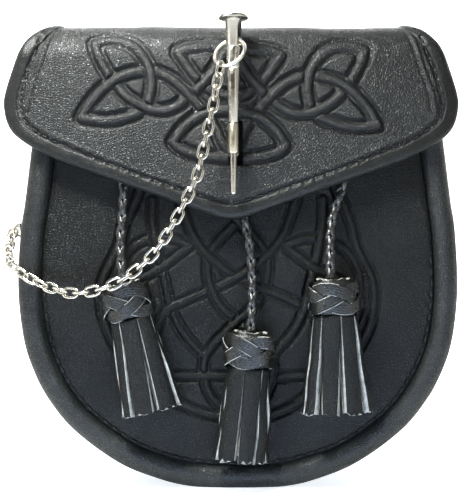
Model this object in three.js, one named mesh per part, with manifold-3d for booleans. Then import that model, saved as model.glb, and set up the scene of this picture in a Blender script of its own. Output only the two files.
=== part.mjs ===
// Leather sporran pouch: a hollow pouch with a padded rim, a flap with a bound edge, a pin closure on
// a chain, and three tassels on cords. Millimetres, +Z up, the front faces -Y. The origin is on the
// outer face of the back, where the belt passes between the two belt loops.

import * as THREE from 'three';
import Module from 'manifold-3d';
import { mergeVertices } from 'three/addons/utils/BufferGeometryUtils.js';

const wasm = await Module();
wasm.setup();

// Clearances, how far a cutting solid reaches past what it cuts, and how deep joined solids meet
const GAP = 0.3;
const FLAP_CLEARANCE = 0.6;
const CUT_MARGIN = 2;
const JOIN_DEPTH = 0.2;

// Pouch outline, seen from the front: half its width at each height
const OUTLINE = [
  { halfWidth: 68.0, z: 49.0 },
  { halfWidth: 75.5, z: 38.0 },
  { halfWidth: 83.0, z: 26.0 },
  { halfWidth: 89.0, z: 11.0 },
  { halfWidth: 92.2, z: -8.7 },
  { halfWidth: 95.3, z: -33.5 },
  { halfWidth: 97.3, z: -47.7 },
  { halfWidth: 98.4, z: -72.5 },
  { halfWidth: 96.2, z: -93.8 },
  { halfWidth: 92.0, z: -108.0 },
  { halfWidth: 84.7, z: -122.2 },
  { halfWidth: 72.9, z: -136.4 },
  { halfWidth: 53.4, z: -150.6 },
  { halfWidth: 36.6, z: -157.6 },
  { halfWidth: 21.7, z: -161.2 },
  { halfWidth: 0.0, z: -162.7 },
];
const HALF_OUTLINE_STEPS = 18;

// Front and back panels
const FRONT_PANEL = { face: -40, thickness: 2, inset: 12, top: 33 };
const BACK_PANEL = { thickness: 2.5, inset: 1, top: 32 };

// Gusset wall, centre line of its section: distance in from the outline, and depth
const GUSSET_WALL = 2;
const GUSSET_SECTION = [
  { inset: 9.0, y: -3.9 },
  { inset: 3.4, y: -3.9 },
  { inset: 1.4, y: -6.4 },
  { inset: 1.0, y: -20.0 },
  { inset: 1.3, y: -36.5 },
  { inset: 2.9, y: -41.3 },
  { inset: 6.0, y: -43.8 },
  { inset: 9.1, y: -41.9 },
  { inset: 9.9, y: -38.8 },
  { inset: 11.4, y: -36.7 },
  { inset: 17.0, y: -36.7 },
];

// Flap: where its inner face lies, its folds, and how far its sides drop back over the rim
const FLAP_CENTRE_X = -3;
const FLAP_THICKNESS = 3;
const FLAP_FRONT = -45.4;
const FLAP_TOP = 39.5;
const FLAP_BACK = 0.3;
const FRONT_FOLD_RADIUS = 12.5;
const BACK_FOLD_RADIUS = 7;
const SIDE_DROP = { from: 89, to: 98, depth: 2.2 };
const FLAP_COLUMNS = 8;
const FLAP_TRIM_STEP = 1.5;

// Flap edge: half its width, and the way down the front from the end of the front fold
const FLAP_SIDE = [
  { halfWidth: 75.0, down: -69.0 },
  { halfWidth: 76.2, down: -56.8 },
  { halfWidth: 77.0, down: -51.3 },
  { halfWidth: 77.6, down: -45.8 },
  { halfWidth: 80.5, down: -19.6 },
  { halfWidth: 84.0, down: -13.0 },
  { halfWidth: 88.9, down: -6.5 },
  { halfWidth: 92.4, down: 0.0 },
  { halfWidth: 96.7, down: 13.0 },
  { halfWidth: 97.5, down: 21.0 },
  { halfWidth: 95.0, down: 30.0 },
  { halfWidth: 88.1, down: 36.7 },
  { halfWidth: 75.2, down: 43.8 },
];
const FLAP_TIP = { halfWidth: 9, down: 67.6, control: 71 };
const LOWER_EDGE_STEPS = 3;

// Edge binding, section round the flap's edge: distance in from the edge, and height over the
// flap's inner face
const BINDING_SECTION = [
  { inset: 0.0, lift: 1.4 },
  { inset: 0.5, lift: 3.0 },
  { inset: 2.2, lift: 4.0 },
  { inset: 5.0, lift: 3.9 },
  { inset: 6.2, lift: 3.2 },
  { inset: 6.2, lift: 0.0 },
  { inset: 0.8, lift: 0.0 },
];
const BINDING_WIDTH = 6.2;

// Slot in the flap for the keeper
const SLOT = { x: -1.3, width: 8, top: 0.5, bottom: -20.2, corner: 1 };

// Belt loops on the back
const BELT_LOOP = { x: 40, width: 24, thickness: 2.4 };
const BELT_LOOP_SECTION = [
  { y: 1.5, z: 20.0 },
  { y: 1.5, z: 14.6 },
  { y: 6.6, z: 11.4 },
  { y: 7.4, z: 0.0 },
  { y: 6.6, z: -11.4 },
  { y: 1.5, z: -14.6 },
  { y: 1.5, z: -20.0 },
];

// Closure pin: stepped profile, from the spike up to the flange head
const PIN_AXIS = { x: -2, y: -55 };
const PIN_PROFILE = [
  { radius: 0.8, z: -31.8 },
  { radius: 1.3, z: -16.0 },
  { radius: 1.35, z: -1.6 },
  { radius: 2.0, z: -1.3 },
  { radius: 2.65, z: 20.9 },
  { radius: 2.4, z: 21.3 },
  { radius: 2.95, z: 21.8 },
  { radius: 3.05, z: 30.2 },
  { radius: 2.85, z: 30.6 },
  { radius: 3.2, z: 31.0 },
  { radius: 3.6, z: 42.4 },
  { radius: 6.4, z: 42.6 },
  { radius: 6.4, z: 43.9 },
  { radius: 5.6, z: 44.3 },
];
const PIN_SIDES = 16;
const PIN_HOLE = { z: 33.6, radius: 1.7, turn: -28, drop: 0.45, drill: 12, sides: 12 };

// Keeper: a tube that the pin drops through, on a stem and a foot
const KEEPER_TUBE = { outer: 2.15, inner: 1.72, top: -1.9, bottom: -14.4 };
const KEEPER_STEM = { width: 1.6, top: -4, bottom: -13 };
const KEEPER_FOOT = { width: 5, thickness: 0.8, top: -2.5, bottom: -14.5 };

// Ring through the pin's cross hole
const RING = { radius: 6.95, wire: 0.85, lean: 30, hookTurn: 200, steps: 24, wireSides: 6 };

// Chain: link size, and the way that it hangs from the ring to the staple
const LINK = { length: 8, width: 5.3, wire: 0.65, arcSteps: 4, wireSides: 5 };
const LINK_COUNT = 37;
const LINK_END_GAP = 0.15;
const CHAIN_ROUTE = [
  { x: -8.9, y: -59.9, z: 14.6 },
  { x: -10.6, y: -59.8, z: 4.6 },
  { x: -14.8, y: -59.4, z: -13.9 },
  { x: -17.0, y: -59.2, z: -23.6 },
  { x: -20.6, y: -59.0, z: -31.8 },
  { x: -27.9, y: -58.7, z: -45.5 },
  { x: -36.2, y: -58.4, z: -57.8 },
  { x: -48.7, y: -58.1, z: -68.0 },
  { x: -58.9, y: -57.8, z: -72.4 },
  { x: -71.1, y: -55.0, z: -73.9 },
  { x: -83.0, y: -50.6, z: -70.9 },
  { x: -90.6, y: -48.5, z: -67.4 },
  { x: -96.2, y: -46.3, z: -63.8 },
  { x: -99.8, y: -42.4, z: -59.9 },
  { x: -101.2, y: -37.6, z: -56.2 },
  { x: -101.6, y: -32.4, z: -52.2 },
  { x: -101.6, y: -25.6, z: -47.0 },
];

// How far the links turn about the chain, from the ring to the staple
const LINK_TURNS = [
  { link: 0, turn: 128 },
  { link: 4, turn: 100 },
  { link: 24, turn: 100 },
  { link: 36, turn: 180 },
];

// Staple on the left side that holds the last link
const STAPLE = { radius: 3.2, wire: 0.75, steps: 8, wireSides: 6 };
const STAPLE_PLATE = { length: 10, width: 3, thickness: 0.8 };

// Tassels: where the head's top sits, its lean, its cord's way down and its fringe
const CORD_RADIUS = 2.1;
const CORD_SIDES = 8;
const CORD_STEPS = 8;
const ANCHOR = { width: 9, height: 9, thickness: 4.2 };
const TASSEL_Y = -48.9;
const HEAD = { halfWidth: 11.4, halfDepth: 8.2, sides: 14 };
const HEAD_PROFILE = [
  { size: 0.72, down: 0.0 },
  { size: 0.93, down: 1.2 },
  { size: 1.0, down: 5.0 },
  { size: 0.98, down: 10.5 },
  { size: 0.87, down: 14.5 },
  { size: 0.8, down: 16.2 },
];
const FRINGE = {
  strips: 11, length: 39, crown: 1.02, topHalfWidth: 9.2, topHalfDepth: 6.8, endHalfDepth: 7.9,
};
const FRINGE_SECTIONS = [
  { share: 0.0, slit: 0.0, slitWidth: 0.04 },
  { share: 0.1, slit: 0.12, slitWidth: 0.05 },
  { share: 0.5, slit: 0.34, slitWidth: 0.12 },
  { share: 1.0, slit: 0.4, slitWidth: 0.2 },
];
const TASSELS = [
  {
    side: 'left',
    top: { x: -49.5, z: -70.6 },
    lean: 13,
    endHalfWidth: 13.2,
    cord: [
      [-50.2, -42.5, -20.0],
      [-50.1, -42.5, -24.0],
      [-50.0, -42.5, -28.0],
      [-50.1, -42.5, -32.0],
      [-50.3, -42.5, -36.0],
      [-50.5, -42.7, -40.0],
      [-50.8, -43.1, -44.0],
      [-51.0, -43.8, -48.0],
      [-51.1, -44.7, -52.0],
      [-51.0, -45.8, -56.0],
      [-50.7, -46.9, -60.0],
      [-50.4, -47.7, -63.0],
      [-50.1, -48.3, -66.0],
      [-49.9, -48.7, -68.2],
      [-49.7, -48.9, -69.9],
    ],
  },
  {
    side: 'middle',
    top: { x: 5.3, z: -91.4 },
    lean: -4,
    endHalfWidth: 11.8,
    cord: [
      [2.1, -42.5, -33.0],
      [2.2, -42.5, -36.5],
      [2.6, -42.5, -40.0],
      [3.3, -42.5, -44.0],
      [4.1, -42.5, -48.0],
      [4.8, -42.5, -52.0],
      [5.3, -42.5, -56.0],
      [5.7, -42.7, -60.0],
      [6.0, -43.2, -64.5],
      [6.2, -44.0, -69.0],
      [6.3, -45.1, -73.5],
      [6.2, -46.3, -78.0],
      [5.9, -47.5, -82.5],
      [5.6, -48.5, -87.0],
      [5.4, -48.9, -90.9],
    ],
  },
  {
    side: 'right',
    top: { x: 41.2, z: -68.6 },
    lean: 1.5,
    endHalfWidth: 15.2,
    cord: [
      [48.0, -42.5, -16.0],
      [47.8, -42.5, -20.0],
      [47.0, -42.5, -24.0],
      [45.8, -42.5, -28.0],
      [44.4, -42.5, -32.0],
      [43.0, -42.5, -36.0],
      [41.8, -42.8, -40.0],
      [40.9, -43.4, -44.0],
      [40.4, -44.2, -48.0],
      [40.2, -45.2, -52.0],
      [40.1, -46.3, -56.0],
      [40.0, -47.4, -60.0],
      [39.9, -48.2, -63.5],
      [39.8, -48.7, -66.0],
      [39.8, -48.9, -68.1],
    ],
  },
];

const leather = new THREE.MeshStandardMaterial({ color: 0x2b2e2d, roughness: 0.55, metalness: 0 });
const smoothLeather = new THREE.MeshStandardMaterial({ color: 0x343736, roughness: 0.45, metalness: 0 });
const nickel = new THREE.MeshStandardMaterial({ color: 0xd8d3c4, roughness: 0.18, metalness: 1 });

const group = new THREE.Group();

function steps(count) {
  return Array.from({ length: count }, (_, k) => k);
}

function polygon(sides, radius) {
  return steps(sides).map((k) => {
    const angle = 2 * Math.PI * k / sides;
    return new THREE.Vector2(radius * Math.cos(angle), radius * Math.sin(angle));
  });
}

function addPiece(name, geometry, material) {
  const mesh = new THREE.Mesh(geometry, material);
  mesh.name = name;
  group.add(mesh);
  return mesh;
}

// Joins rings of points, all of one length, into one closed body. A closed loft meets itself; an
// open one is capped with the faces given for its end rings.
function loft(rings, capFaces) {
  const count = rings[0].length;
  const positions = rings.flat().flatMap((point) => [point.x, point.y, point.z]);
  const faces = [];
  const spans = capFaces ? rings.length - 1 : rings.length;
  for (let ring = 0; ring < spans; ring += 1) {
    const next = (ring + 1) % rings.length;
    for (let side = 0; side < count; side += 1) {
      const a = ring * count + side;
      const b = ring * count + ((side + 1) % count);
      const c = next * count + side;
      const d = next * count + ((side + 1) % count);
      faces.push(a, b, d, a, d, c);
    }
  }
  if (capFaces) {
    const last = (rings.length - 1) * count;
    capFaces.forEach(([a, b, c]) => faces.push(c, b, a, last + a, last + b, last + c));
  }
  const geometry = new THREE.BufferGeometry();
  geometry.setAttribute('position', new THREE.Float32BufferAttribute(positions, 3));
  geometry.setIndex(faces);
  return facesOut(geometry);
}

// Turns every face round where the body's volume comes out negative.
function facesOut(geometry) {
  const position = geometry.getAttribute('position');
  const index = geometry.getIndex().array;
  const corner = [0, 1, 2].map(() => new THREE.Vector3());
  let volume = 0;
  for (let face = 0; face < index.length; face += 3) {
    corner.forEach((point, k) => point.fromBufferAttribute(position, index[face + k]));
    volume += corner[0].dot(corner[1].clone().cross(corner[2]));
  }
  if (volume < 0) {
    for (let face = 0; face < index.length; face += 3) {
      const second = index[face + 1];
      index[face + 1] = index[face + 2];
      index[face + 2] = second;
    }
  }
  return geometry;
}

// Cap faces for a flat section, which go round the way that the section does.
function sectionCap(section) {
  const turn = Math.sign(THREE.ShapeUtils.area(section));
  return THREE.ShapeUtils.triangulateShape(section, []).map((face) => {
    const same = turn * THREE.ShapeUtils.area(face.map((k) => section[k])) > 0;
    return same ? face : [...face].reverse();
  });
}

function toSolid(geometry) {
  const bare = geometry.clone();
  bare.deleteAttribute('normal');
  bare.deleteAttribute('uv');
  const merged = mergeVertices(bare);
  return new wasm.Manifold(new wasm.Mesh({
    numProp: 3,
    vertProperties: new Float32Array(merged.getAttribute('position').array),
    triVerts: new Uint32Array(merged.getIndex().array),
  }));
}

function toGeometry(solid) {
  const mesh = solid.getMesh();
  const geometry = new THREE.BufferGeometry();
  geometry.setAttribute('position', new THREE.BufferAttribute(new Float32Array(mesh.vertProperties), 3));
  geometry.setIndex(new THREE.BufferAttribute(new Uint32Array(mesh.triVerts), 1));
  return geometry;
}

function boxBetween(low, high) {
  const size = high.map((value, axis) => value - low[axis]);
  const centre = high.map((value, axis) => (value + low[axis]) / 2);
  return new THREE.BoxGeometry(...size).translate(...centre);
}

// A section of (y, z) points carried along X.
function alongX(section, from, to) {
  const shape = new THREE.Shape(section);
  const geometry = new THREE.ExtrudeGeometry(shape, { depth: to - from, bevelEnabled: false });
  return geometry.applyMatrix4(new THREE.Matrix4().set(
    0, 0, 1, from,
    1, 0, 0, 0,
    0, 1, 0, 0,
    0, 0, 0, 1,
  ));
}

// A polyline moved to both sides of itself by half a thickness, as one closed section.
function thicken(line, thickness) {
  const normals = line.map((point, k) => {
    const before = line[Math.max(k - 1, 0)];
    const after = line[Math.min(k + 1, line.length - 1)];
    const toPoint = point.clone().sub(before).normalize();
    const fromPoint = after.clone().sub(point).normalize();
    const along = toPoint.add(fromPoint).normalize();
    return new THREE.Vector2(-along.y, along.x);
  });
  const side = (sign) => line.map((point, k) => (
    point.clone().addScaledVector(normals[k], sign * thickness / 2)));
  return [...side(1), ...side(-1).reverse()];
}

// Evenly spaced points down the left side of the pouch, along the bottom and up the right side,
// each with the direction that points into the pouch.
function pouchEdge() {
  const rows = OUTLINE.map(({ halfWidth, z }) => new THREE.Vector2(-halfWidth, z));
  const mirrored = rows.slice(0, -1).reverse().map((point) => new THREE.Vector2(-point.x, point.y));
  const curve = new THREE.SplineCurve([...rows, ...mirrored]);
  const count = 2 * HALF_OUTLINE_STEPS;
  return steps(count + 1).map((k) => {
    const along = curve.getTangentAt(k / count);
    return { point: curve.getPointAt(k / count), inward: new THREE.Vector2(-along.y, along.x) };
  });
}

// A flat panel inside the pouch outline, cut straight across at the top.
function panelGeometry(inset, top, thickness, backFace) {
  const points = pouchEdge().map(({ point, inward }) => point.clone().addScaledVector(inward, inset));
  const kept = points.filter((point) => point.y < top);
  const first = points.indexOf(kept[0]);
  const cross = (a, b) => a.clone().lerp(b, (top - a.y) / (b.y - a.y));
  const last = first + kept.length - 1;
  const start = cross(points[first - 1], points[first]);
  const end = cross(points[last], points[last + 1]);
  const shape = new THREE.Shape([start, ...kept, end]);
  const geometry = new THREE.ExtrudeGeometry(shape, { depth: thickness, bevelEnabled: false });
  return geometry.rotateX(Math.PI / 2).translate(0, backFace, 0);
}

// A point of the flap before its sides drop: down runs over the fold and down the front, lift is
// the height over the inner face.
function foldPoint(down, lift) {
  const frontArc = FRONT_FOLD_RADIUS * Math.PI / 2;
  const backArc = BACK_FOLD_RADIUS * Math.PI / 2;
  const frontCentre = { y: FLAP_FRONT + FRONT_FOLD_RADIUS, z: FLAP_TOP - FRONT_FOLD_RADIUS };
  const backCentre = { y: FLAP_BACK - BACK_FOLD_RADIUS, z: FLAP_TOP - BACK_FOLD_RADIUS };
  const topLength = backCentre.y - frontCentre.y;
  if (down >= 0) return { y: FLAP_FRONT - lift, z: frontCentre.z - down };
  if (down > -frontArc) {
    const angle = -down / FRONT_FOLD_RADIUS;
    const reach = FRONT_FOLD_RADIUS + lift;
    return { y: frontCentre.y - reach * Math.cos(angle), z: frontCentre.z + reach * Math.sin(angle) };
  }
  const pastFront = -down - frontArc;
  if (pastFront < topLength) return { y: frontCentre.y + pastFront, z: FLAP_TOP + lift };
  const pastTop = pastFront - topLength;
  if (pastTop < backArc) {
    const angle = pastTop / BACK_FOLD_RADIUS;
    const reach = BACK_FOLD_RADIUS + lift;
    return { y: backCentre.y + reach * Math.sin(angle), z: backCentre.z + reach * Math.cos(angle) };
  }
  return { y: FLAP_BACK + lift, z: backCentre.z - (pastTop - backArc) };
}

// A point of the flap in space. Its sides drop back over the rim.
function flapPoint(x, down, lift) {
  const drop = SIDE_DROP.depth * THREE.MathUtils.smoothstep(Math.abs(x), SIDE_DROP.from, SIDE_DROP.to);
  const { y, z } = foldPoint(down, lift - drop);
  return new THREE.Vector3(x + FLAP_CENTRE_X, y, z);
}

// The flap's edge from the back, over the top, down the left side to the point and back up on the
// right, each point with the direction that points into the flap.
function flapEdge() {
  const side = new THREE.SplineCurve(FLAP_SIDE.map(({ halfWidth, down }) => (
    new THREE.Vector2(-halfWidth, down))));
  const lower = side.getPoint(1);
  const tipStart = new THREE.Vector2(-FLAP_TIP.halfWidth, FLAP_TIP.down);
  const middle = new THREE.Vector2(0, (FLAP_TIP.down + FLAP_TIP.control) / 2);
  const tip = new THREE.QuadraticBezierCurve(
    tipStart, new THREE.Vector2(-FLAP_TIP.halfWidth / 2, (FLAP_TIP.down + FLAP_TIP.control) / 2), middle);
  const left = [
    ...side.getPoints(2 * (FLAP_SIDE.length - 1)),
    ...steps(LOWER_EDGE_STEPS).map((k) => lower.clone().lerp(tipStart, (k + 1) / LOWER_EDGE_STEPS)),
    tip.getPoint(0.5),
  ];
  const right = [...left].reverse().map((point) => new THREE.Vector2(-point.x, point.y));
  const points = [...left, middle, ...right];
  return points.map((point, k) => {
    const before = points[Math.max(k - 1, 0)];
    const after = points[Math.min(k + 1, points.length - 1)];
    const along = after.clone().sub(before).normalize();
    return { point, inward: new THREE.Vector2(along.y, -along.x) };
  });
}

// Rows across the flap inside its binding, each a closed ring over the outer and inner face.
function flapGeometry() {
  const edge = flapEdge();
  const inset = BINDING_WIDTH + GAP;
  const rows = edge.slice(0, (edge.length - 1) / 2).map(({ point, inward }) => (
    point.clone().addScaledVector(inward, inset)));
  const across = steps(FLAP_COLUMNS + 1).map((k) => -1 + 2 * k / FLAP_COLUMNS);
  const rings = rows.map(({ x, y }) => [
    ...across.map((share) => flapPoint(share * x, y, FLAP_THICKNESS)),
    ...[...across].reverse().map((share) => flapPoint(share * x, y, 0)),
  ]);
  const section = [
    ...across.map((share) => new THREE.Vector2(share, 1)),
    ...[...across].reverse().map((share) => new THREE.Vector2(share, 0)),
  ];
  return loft(rings, sectionCap(section));
}

// A cutting solid for the slot, with its corners cut off.
function slotGeometry() {
  const { top, bottom, corner } = SLOT;
  const side = SLOT.width / 2;
  const rightHalf = [
    new THREE.Vector2(side - corner, bottom),
    new THREE.Vector2(side, bottom + corner),
    new THREE.Vector2(side, top - corner),
    new THREE.Vector2(side - corner, top),
  ];
  const leftHalf = [...rightHalf].reverse().map(({ x, y }) => new THREE.Vector2(-x, y));
  const depth = FLAP_THICKNESS + 2 * CUT_MARGIN;
  const shape = new THREE.Shape([...rightHalf, ...leftHalf]);
  return new THREE.ExtrudeGeometry(shape, { depth, bevelEnabled: false })
    .rotateX(Math.PI / 2)
    .translate(SLOT.x, FLAP_FRONT + CUT_MARGIN, 0);
}

function addFlap() {
  const sheet = toSolid(flapGeometry()).subtract(toSolid(slotGeometry()));
  addPiece('flap', toGeometry(sheet), leather);
  const section = BINDING_SECTION.map(({ inset, lift }) => new THREE.Vector2(inset, lift));
  const rings = flapEdge().map(({ point, inward }) => section.map(({ x, y }) => {
    const place = point.clone().addScaledVector(inward, x);
    return flapPoint(place.x, place.y, y);
  }));
  addPiece('flap_binding', loft(rings, sectionCap(section)), smoothLeather);
}

// The space behind the flap's inner face, which the gusset is trimmed to.
function spaceUnderFlap() {
  const count = Math.ceil(-FLAP_SIDE[0].down / FLAP_TRIM_STEP);
  const fold = steps(count + 1).map((k) => foldPoint(-FLAP_TRIM_STEP * k, -FLAP_CLEARANCE));
  const floor = OUTLINE[OUTLINE.length - 1].z - CUT_MARGIN;
  const section = [
    new THREE.Vector2(fold[0].y, floor),
    ...fold.map(({ y, z }) => new THREE.Vector2(y, z)),
    new THREE.Vector2(fold[fold.length - 1].y, floor),
  ];
  const reach = 2 * OUTLINE[0].halfWidth;
  return alongX(section, -reach, reach);
}

function addPouch() {
  const line = GUSSET_SECTION.map(({ inset, y }) => new THREE.Vector2(inset, y));
  const section = thicken(line, GUSSET_WALL);
  const rings = pouchEdge().map(({ point, inward }) => section.map(({ x, y }) => {
    const place = point.clone().addScaledVector(inward, x);
    return new THREE.Vector3(place.x, y, place.y);
  }));
  const wall = toSolid(loft(rings, sectionCap(section)));
  addPiece('gusset', toGeometry(wall.intersect(toSolid(spaceUnderFlap()))), smoothLeather);
  const front = FRONT_PANEL;
  const frontBack = front.face + front.thickness;
  addPiece('front_panel', panelGeometry(front.inset, front.top, front.thickness, frontBack), leather);
  const back = BACK_PANEL;
  addPiece('back_panel', panelGeometry(back.inset, back.top, back.thickness, 0), leather);
}

function addBeltLoops() {
  const line = BELT_LOOP_SECTION.map(({ y, z }) => new THREE.Vector2(y, z));
  const section = thicken(line, BELT_LOOP.thickness);
  [['belt_loop_left', -1], ['belt_loop_right', 1]].forEach(([name, sign]) => {
    const from = sign * BELT_LOOP.x - BELT_LOOP.width / 2;
    addPiece(name, alongX(section, from, from + BELT_LOOP.width), leather);
  });
}

// The pin's cross hole runs from its back left to its front right.
function holeDirection() {
  return new THREE.Vector3(1, 0, 0).applyAxisAngle(
    new THREE.Vector3(0, 0, 1), THREE.MathUtils.degToRad(PIN_HOLE.turn));
}

// Turned parts are made about the Z axis.
function turned(profile, sides) {
  return new THREE.LatheGeometry(profile, sides).rotateX(Math.PI / 2);
}

function addPin() {
  const rows = PIN_PROFILE.map(({ radius, z }) => new THREE.Vector2(radius, z));
  const top = rows[rows.length - 1].y;
  const profile = [new THREE.Vector2(0, rows[0].y), ...rows, new THREE.Vector2(0, top)];
  const body = turned(profile, PIN_SIDES).translate(PIN_AXIS.x, PIN_AXIS.y, 0);
  const { radius, drill: length, sides, drop } = PIN_HOLE;
  const drill = new THREE.CylinderGeometry(radius, radius, length, sides);
  drill.applyQuaternion(new THREE.Quaternion().setFromUnitVectors(
    new THREE.Vector3(0, 1, 0), holeDirection()));
  const sag = ringFrame().rise.multiplyScalar(-drop);
  drill.translate(PIN_AXIS.x + sag.x, PIN_AXIS.y + sag.y, PIN_HOLE.z + sag.z);
  addPiece('pin', toGeometry(toSolid(body).subtract(toSolid(drill))), nickel);
}

function addKeeper() {
  const { outer, inner, top, bottom } = KEEPER_TUBE;
  const profile = [[inner, bottom], [outer, bottom], [outer, top], [inner, top], [inner, bottom]];
  const tube = turned(profile.map(([x, y]) => new THREE.Vector2(x, y)), PIN_SIDES)
    .translate(PIN_AXIS.x, PIN_AXIS.y, 0);
  const footFront = FRONT_PANEL.face - GAP - KEEPER_FOOT.thickness;
  const stem = boxBetween(
    [PIN_AXIS.x - KEEPER_STEM.width / 2, PIN_AXIS.y + outer - JOIN_DEPTH, KEEPER_STEM.bottom],
    [PIN_AXIS.x + KEEPER_STEM.width / 2, footFront + JOIN_DEPTH, KEEPER_STEM.top],
  );
  const foot = boxBetween(
    [PIN_AXIS.x - KEEPER_FOOT.width / 2, footFront, KEEPER_FOOT.bottom],
    [PIN_AXIS.x + KEEPER_FOOT.width / 2, FRONT_PANEL.face - GAP, KEEPER_FOOT.top],
  );
  const solid = [stem, foot].reduce((body, piece) => body.add(toSolid(piece)), toSolid(tube));
  addPiece('pin_keeper', toGeometry(solid), nickel);
}

// The ring's plane holds the hole's direction and leans forward as it hangs.
function ringFrame() {
  const across = holeDirection();
  const out = new THREE.Vector3(0, 0, 1).cross(across);
  const lean = THREE.MathUtils.degToRad(RING.lean);
  const rise = new THREE.Vector3(0, 0, Math.cos(lean)).addScaledVector(out, Math.sin(lean));
  const centre = new THREE.Vector3(PIN_AXIS.x, PIN_AXIS.y, PIN_HOLE.z)
    .addScaledVector(rise, -RING.radius);
  return { across, rise, centre };
}

function ringPoint(turn) {
  const { across, rise, centre } = ringFrame();
  const angle = THREE.MathUtils.degToRad(turn);
  return centre.clone()
    .addScaledVector(rise, RING.radius * Math.cos(angle))
    .addScaledVector(across, RING.radius * Math.sin(angle));
}

// One ring of points round a wire, in the plane of two directions.
function wireRing(point, first, second, wire, sides) {
  return steps(sides).map((side) => {
    const angle = 2 * Math.PI * side / sides;
    return point.clone()
      .addScaledVector(first, wire * Math.cos(angle))
      .addScaledVector(second, wire * Math.sin(angle));
  });
}

// A closed wire along a flat loop: points, with the loop's normal.
function wireLoop(points, normal, wire, sides) {
  const rings = points.map((point, k) => {
    const before = points[(k + points.length - 1) % points.length];
    const after = points[(k + 1) % points.length];
    const along = after.clone().sub(before).normalize();
    const outward = along.clone().cross(normal);
    return wireRing(point, outward, normal, wire, sides);
  });
  return loft(rings, null);
}

function addRing() {
  const { across, rise } = ringFrame();
  const points = steps(RING.steps).map((k) => ringPoint(360 * k / RING.steps));
  const normal = across.clone().cross(rise).normalize();
  addPiece('pin_ring', wireLoop(points, normal, RING.wire, RING.wireSides), nickel);
}

function linkTurn(link) {
  const next = LINK_TURNS.findIndex((row) => row.link >= link);
  const high = LINK_TURNS[Math.max(next, 1)];
  const low = LINK_TURNS[Math.max(next, 1) - 1];
  const share = (link - low.link) / (high.link - low.link);
  return THREE.MathUtils.lerp(low.turn, high.turn, share) + (link % 2) * 90;
}

// A long round-ended link, centred at a point, lying along one direction and flat across a normal.
function linkGeometry(centre, along, normal) {
  const across = normal.clone().cross(along);
  const bend = LINK.width / 2 - LINK.wire;
  const straight = LINK.length / 2 - LINK.width / 2;
  const points = [];
  [1, -1].forEach((end) => {
    for (let step = 0; step <= LINK.arcSteps; step += 1) {
      const angle = Math.PI * (step / LINK.arcSteps - 0.5);
      const forward = end * (straight + bend * Math.cos(angle));
      points.push(centre.clone()
        .addScaledVector(along, forward)
        .addScaledVector(across, end * bend * Math.sin(angle)));
    }
  });
  return wireLoop(points, normal, LINK.wire, LINK.wireSides);
}

function addChain() {
  const rows = CHAIN_ROUTE.map(({ x, y, z }) => new THREE.Vector3(x, y, z));
  const points = [ringPoint(RING.hookTurn), ...rows];
  const route = new THREE.CatmullRomCurve3(points, false, 'centripetal');
  const length = route.getLength();
  const inner = LINK.length / 2 - 2 * LINK.wire;
  const first = inner - RING.wire - LINK_END_GAP;
  const last = length - (inner - STAPLE.wire - LINK_END_GAP);
  for (let link = 0; link < LINK_COUNT; link += 1) {
    const share = (first + (last - first) * link / (LINK_COUNT - 1)) / length;
    const along = route.getTangentAt(share);
    const front = new THREE.Vector3(0, -1, 0).addScaledVector(along, along.y).normalize();
    const normal = front.applyAxisAngle(along, THREE.MathUtils.degToRad(linkTurn(link)));
    const name = `chain_link_${String(link + 1).padStart(2, '0')}`;
    addPiece(name, linkGeometry(route.getPointAt(share), along, normal), nickel);
  }
  addStaple(points[points.length - 1], route.getTangentAt(1));
}

// Half a ring whose ends stand on a small plate on the pouch's side, square to the chain.
function addStaple(hook, chainDirection) {
  const outward = new THREE.Vector3(-1, 0, 0);
  const upward = chainDirection.clone().cross(outward).normalize();
  const depth = outward.clone().cross(upward);
  const base = hook.clone().addScaledVector(outward, -STAPLE.radius);
  const rings = steps(STAPLE.steps + 1).map((k) => {
    const angle = Math.PI * (k / STAPLE.steps - 0.5);
    const radial = outward.clone().multiplyScalar(Math.cos(angle)).addScaledVector(upward, Math.sin(angle));
    const point = base.clone().addScaledVector(radial, STAPLE.radius);
    return wireRing(point, radial, depth, STAPLE.wire, STAPLE.wireSides);
  });
  const loop = loft(rings, sectionCap(polygon(STAPLE.wireSides, 1)));
  const plate = new THREE.BoxGeometry(STAPLE_PLATE.thickness, STAPLE_PLATE.length, STAPLE_PLATE.width);
  plate.applyMatrix4(new THREE.Matrix4().makeBasis(outward, upward, depth));
  const seat = base.clone().addScaledVector(outward, JOIN_DEPTH - STAPLE_PLATE.thickness / 2);
  plate.translate(seat.x, seat.y, seat.z);
  addPiece('chain_staple', toGeometry(toSolid(loop).add(toSolid(plate))), nickel);
}

// Moves a piece made round the origin, hanging down, to its tassel's head.
function placeTassel(geometry, tassel) {
  const lean = THREE.MathUtils.degToRad(tassel.lean);
  return geometry.rotateY(-lean).translate(tassel.top.x, TASSEL_Y, tassel.top.z);
}

function headGeometry() {
  const section = polygon(HEAD.sides, 1);
  const rings = HEAD_PROFILE.map(({ size, down }) => section.map(({ x, y }) => (
    new THREE.Vector3(HEAD.halfWidth * size * x, HEAD.halfDepth * size * y, -down))));
  return loft(rings, sectionCap(section));
}

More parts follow.
